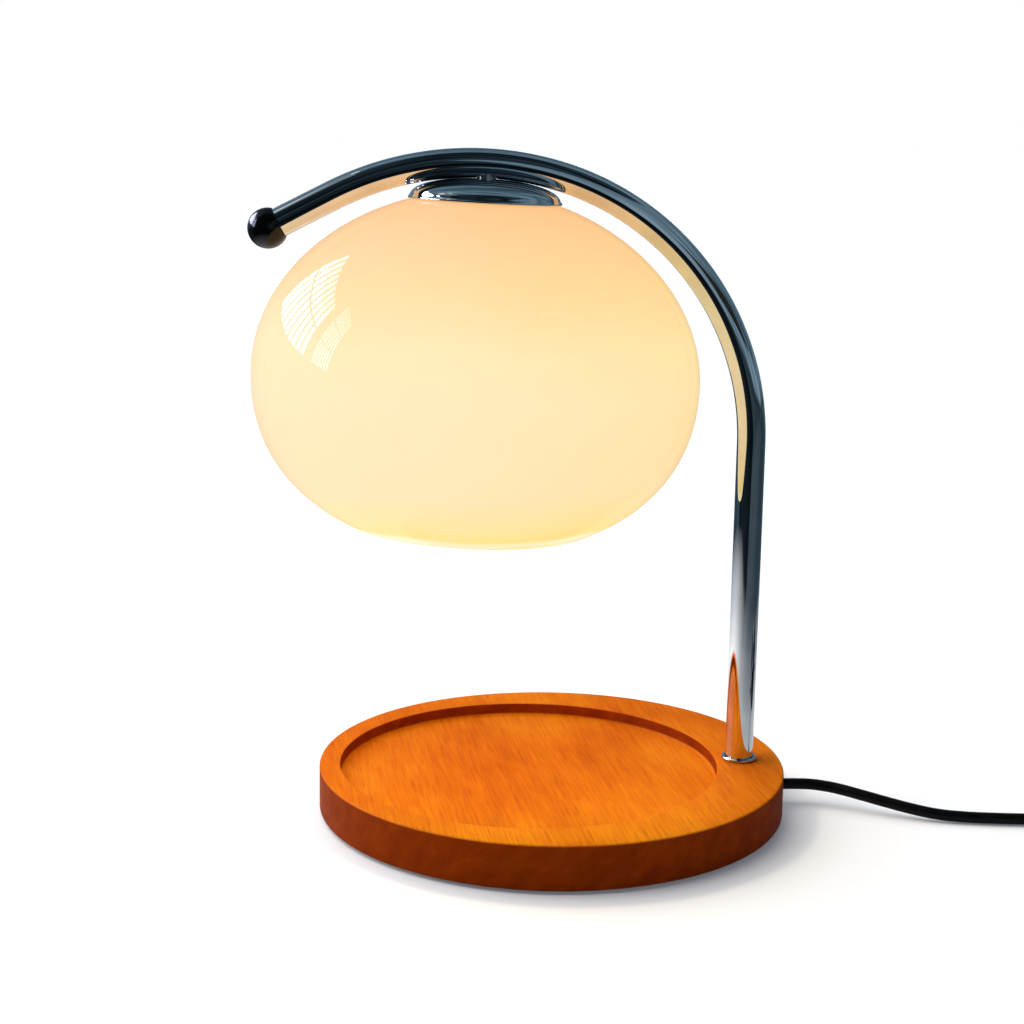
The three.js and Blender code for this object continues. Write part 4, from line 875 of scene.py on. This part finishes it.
def archPath():
    # Centreline as (place, heading) every degree or so, and the place that the shade hangs from
    lower, upper = arch["lowerBend"], arch["upperBend"]
    bend = math.radians(arch["lowerAngle"])
    columnTop = arch["top"] - arch["radius"] - lower * math.sin(bend) - upper * (1 - math.sin(bend))
    first = Vector((arch["columnX"] - lower, 0, columnTop))
    second = first + Vector((math.cos(bend), 0, math.sin(bend))) * (lower - upper)
    stations = [(Vector((arch["columnX"], 0, arch["footZ"] + (columnTop - arch["footZ"]) * i / 24)),
                 Vector((0, 0, 1))) for i in range(24)]
    for centre, radius, start, end, steps in ((first, lower, 0, arch["lowerAngle"], 72),
                                              (second, upper, arch["lowerAngle"], arch["wholeAngle"], 46)):
        for i in range(steps if radius == lower else steps + 1):
            a = math.radians(start + (end - start) * i / steps)
            stations.append((centre + Vector((math.cos(a), 0, math.sin(a))) * radius,
                             Vector((-math.sin(a), 0, math.cos(a)))))
    place, heading = stations[-1]
    stations += [(place + heading * (arch["tail"] * i / 4), heading) for i in range(1, 5)]
    a = math.radians(90 - arch["hangTilt"])
    return stations, second + Vector((math.cos(a), 0, math.sin(a))) * upper


stations, hangPlace = archPath()
hanger = Matrix.Translation(hangPlace) @ Matrix.Rotation(math.radians(arch["hangTilt"]), 4, "Y")
sideAxis = Vector((0, 1, 0))


def makeTube():
    framed = [(c, sideAxis, heading.cross(sideAxis)) for c, heading in stations]
    count = arch["sides"]
    outer = arcPoints(0, 0, arch["radius"], 0, 360, count)[:-1]
    inner = arcPoints(0, 0, arch["radius"] - arch["wall"], 0, 360, count)[:-1]
    verts = [tuple(c + s * a + u * b) for c, s, u in framed for a, b in outer + inner]
    stride, faces = 2 * count, []
    for k in range(len(framed) - 1):
        for i in range(count):
            j = (i + 1) % count
            p, q = k * stride, (k + 1) * stride
            faces.append((p + i, p + j, q + j, q + i))
            faces.append((p + count + j, p + count + i, q + count + i, q + count + j))
    last = (len(framed) - 1) * stride
    for i in range(count):
        j = (i + 1) % count
        faces.append((j, i, count + i, count + j))
        faces.append((last + i, last + j, last + count + j, last + count + i))
    piece = newPiece("bentTube", verts, faces, platedChrome, "lamp", "chrome", ["arm_tube"])
    cutShape(piece, moved(discShape(*arch["hangHole"], 32), hanger))


collar = {"bore": 6.3, "wall": 1.4, "height": 1.6, "round": 0.8, "chamferAcross": 0.25, "chamferDown": 0.2}


def makeCollar():
    z, bore, wall, curve = arch["footZ"], collar["bore"], collar["wall"], collar["round"]
    profile = [(bore, z), (bore + wall - curve, z)]
    profile += arcPoints(bore + wall - curve, z + curve, curve, -90, 90, 12)[1:]
    profile += [(bore + collar["chamferAcross"], z + collar["height"]),
                (bore, z + collar["height"] - collar["chamferDown"])]
    shape = moved(turnedShape(profile, 96, closed=True), Matrix.Translation((arch["columnX"], 0, 0)))
    newPiece("footCollar", *shape, platedChrome, "lamp", "chrome", ["foot_collar"])


ball = {"radius": 8.3, "offset": 5.25, "plugRadius": 4.4, "plugDepth": 10, "seatRadius": 6.1,
        "seatGap": 0.2}


def makeBall():
    # Its plug sits in the tube's end, and its flat faces the rim
    place, heading = stations[-1]
    radius, offset = ball["radius"], ball["offset"]
    flat = math.degrees(math.acos(offset / radius))
    profile = [(0, -ball["plugDepth"]), (ball["plugRadius"], -ball["plugDepth"]),
               (ball["plugRadius"], ball["seatGap"]), (ball["seatRadius"], ball["seatGap"])]
    profile += arcPoints(0, offset, radius, flat - 90 + 2, 90, 44)[:-1] + [(0, offset + radius)]
    turnBall = Vector((0, 0, 1)).rotation_difference(heading).to_matrix().to_4x4()
    shape = moved(turnedShape(profile, 96), Matrix.Translation(place) @ turnBall)
    newPiece("ballEnd", *shape, blackLacquer, "lamp", "black_gloss", ["ball_finial"])


makeTube()
makeCollar()
makeBall()
print("tube bent")


# Shade and cap on the hanger; heights run down from the tube's centreline

shade = {"drop": 86.6, "radius": 92.6, "upper": 75.6, "lower": 72, "upperPower": 1.95, "lowerPower": 2.22,
         "wall": 3.2, "hole": 20, "mouth": 52.5, "lipRound": 0.75, "sides": 300, "lowerSteps": 40,
         "upperSteps": 60}
cap = {"radius": 31.5, "bead": 0.6, "wall": 0.8, "power": 2.2, "top": -6.1, "hole": 4.3, "beadRise": 0.2}


def globeHeight(radius):
    # Height of the globe's upper skin at that distance from its axis
    power = shade["upperPower"]
    return shade["upper"] * (1 - (radius / shade["radius"]) ** power) ** (1 / power) - shade["drop"]


def globeArc(inset, startRadius, endRadius, upper, steps):
    power = shade["upperPower"] if upper else shade["lowerPower"]
    widest = shade["radius"] - inset
    height = (shade["upper"] if upper else shade["lower"]) - inset
    start, end = [math.acos(min(1, r / widest) ** (power / 2)) for r in (startRadius, endRadius)]
    points = []
    for i in range(steps + 1):
        a = start + (end - start) * i / steps
        rise = height * math.sin(a) ** (2 / power)
        points.append((widest * math.cos(a) ** (2 / power), -shade["drop"] + (rise if upper else -rise)))
    return points


def makeShade():
    wall, wide, mouth, hole = shade["wall"], shade["radius"], shade["mouth"], shade["hole"]
    low, high = shade["lowerSteps"], shade["upperSteps"]
    outside = globeArc(0, mouth, wide, False, low)[:-1] + globeArc(0, wide, hole, True, high)
    inside = globeArc(wall, hole, wide - wall, True, high)[:-1]
    inside += globeArc(wall, wide - wall, mouth - wall, False, low)

    def rim(first, second, outward):
        # Fire-polished edge: a flattened half circle from one skin to the other
        a, b = Vector(first), Vector(second)
        centre, half = (a + b) / 2, (a - b) / 2
        side = Vector((-half.y, half.x))
        side = side if side.dot(Vector(outward)) > 0 else -side
        return [tuple(centre + half * math.cos(t) + side * math.sin(t) * shade["lipRound"])
                for t in [math.pi * i / 8 for i in range(1, 8)]]

    crown = rim(outside[-1], inside[0], (-1, 0))
    lip = rim(inside[-1], outside[0], (0, -1))
    shape = moved(turnedShape(outside + crown + inside + lip, shade["sides"], closed=True), hanger)
    piece = newPiece("opalShade", *shape, litOpalGlass, "lamp", "opal_glass", ["glass_shade"])
    piece.visible_shadow = False  # the milky glass lets the light through


def makeCap():
    beadRadius = cap["radius"] - cap["bead"]
    slope = (globeHeight(beadRadius) - globeHeight(cap["radius"])) / cap["bead"]
    beadZ = globeHeight(beadRadius) + (cap["bead"] + cap["beadRise"]) * math.hypot(1, slope)

    def skin(inset, steps=40):
        wide, height = beadRadius - inset, cap["top"] - inset - beadZ
        end = math.acos((cap["hole"] / wide) ** (cap["power"] / 2))
        return [(wide * math.cos(end * i / steps) ** (2 / cap["power"]),
                 beadZ + height * math.sin(end * i / steps) ** (2 / cap["power"]))
                for i in range(steps + 1)]

    profile = arcPoints(beadRadius, beadZ, cap["bead"], -180, 60, 18)
    profile += skin(0)[3:] + skin(cap["wall"])[1:][::-1]
    newPiece("domeCap", *moved(turnedShape(profile, 160, closed=True), hanger), platedChrome, "lamp",
             "chrome", ["dome_cap"])


makeShade()
makeCap()
print("shade blown, cap spun")


# Light of the bulb, aimed down through the shade's mouth; its drop runs from the tube's centreline

bulb = {"drop": 90, "size": 36, "power": 0.14, "colour": (1.0, 0.80, 0.52)}
bulbLight = bpy.data.lights.new("bulbLight", "AREA")
bulbLight.shape = "DISK"
bulbLight.size = bulb["size"] * mm
bulbLight.energy = bulb["power"]
bulbLight.color = bulb["colour"]
bulbObject = bpy.data.objects.new("bulbLight", bulbLight)
scene.collection.objects.link(bulbObject)
bulbPlace = point(*(hanger @ Vector((0, 0, -bulb["drop"]))))
bulbObject.matrix_world = Matrix.Translation(bulbPlace) @ hanger.to_3x3().to_4x4()
bulbObject.visible_glossy = False


# CAD nodes that stay, with their finishes and the widths that their edges are softened by

finishes = [
    (evaFoam, ["base_pad"], 0),
    (mouldedAbs, ["wiring_cover", "dimmer_lower_case", "dimmer_upper_case"], 0.35),
    (mouldedPvc, ["cord_grommet", "dimmer_boot_1", "dimmer_boot_2", "plug_body"], 0.3),
    (blackNylon, ["cord_clamp", "dimmer_control"], 0.2),
    (zincPlatedSteel, ["foot_pipe", "foot_washer", "retainer_plate", "hanger_washer", "hanger_pipe",
                       "cover_screw_1", "cover_screw_2", "cover_screw_3", "cover_screw_4",
                       "clamp_screw_1", "clamp_screw_2", "dimmer_screw_1", "dimmer_screw_2",
                       "bulb_pin_1", "bulb_pin_2"], 0.12),
    (turnedBrass, ["foot_nut", "hanger_nut", "holder_contact_1", "holder_contact_2"], 0.15),
    (nickelBrass, ["plug_pin_1", "plug_pin_2"], 0.2),
    (siliconeRubber, ["cap_gasket", "shade_gasket"], 0.2),
    (firedSteatite, ["lamp_holder", "bulb_base"], 0.3),
    (aluminisedGlass, ["bulb_reflector"], 0.2),
    (pressedClearGlass, ["bulb_lens", "bulb_capsule"], 0.2),
    (naturalNylon, ["terminal_block"], 0.2),
    (glassFibreLaminate, ["dimmer_board"], 0),
    (pvcCordJacket, ["cord_inside"], 0),
    (braidedGlassSleeve, ["inner_lead"], 0),
    (blackLacquer, ["dimmer_dial"], 0.25),
    (hookAndLoopTape, ["coil_tie"], 0.1),
]
for material, names, edge in finishes:
    for name in names:
        piece = nodes[name]
        piece.data.materials.clear()
        piece.data.materials.append(material)
        smoothByAngle(piece)
        if edge:
            softened(piece, edge)
print("CAD nodes finished")
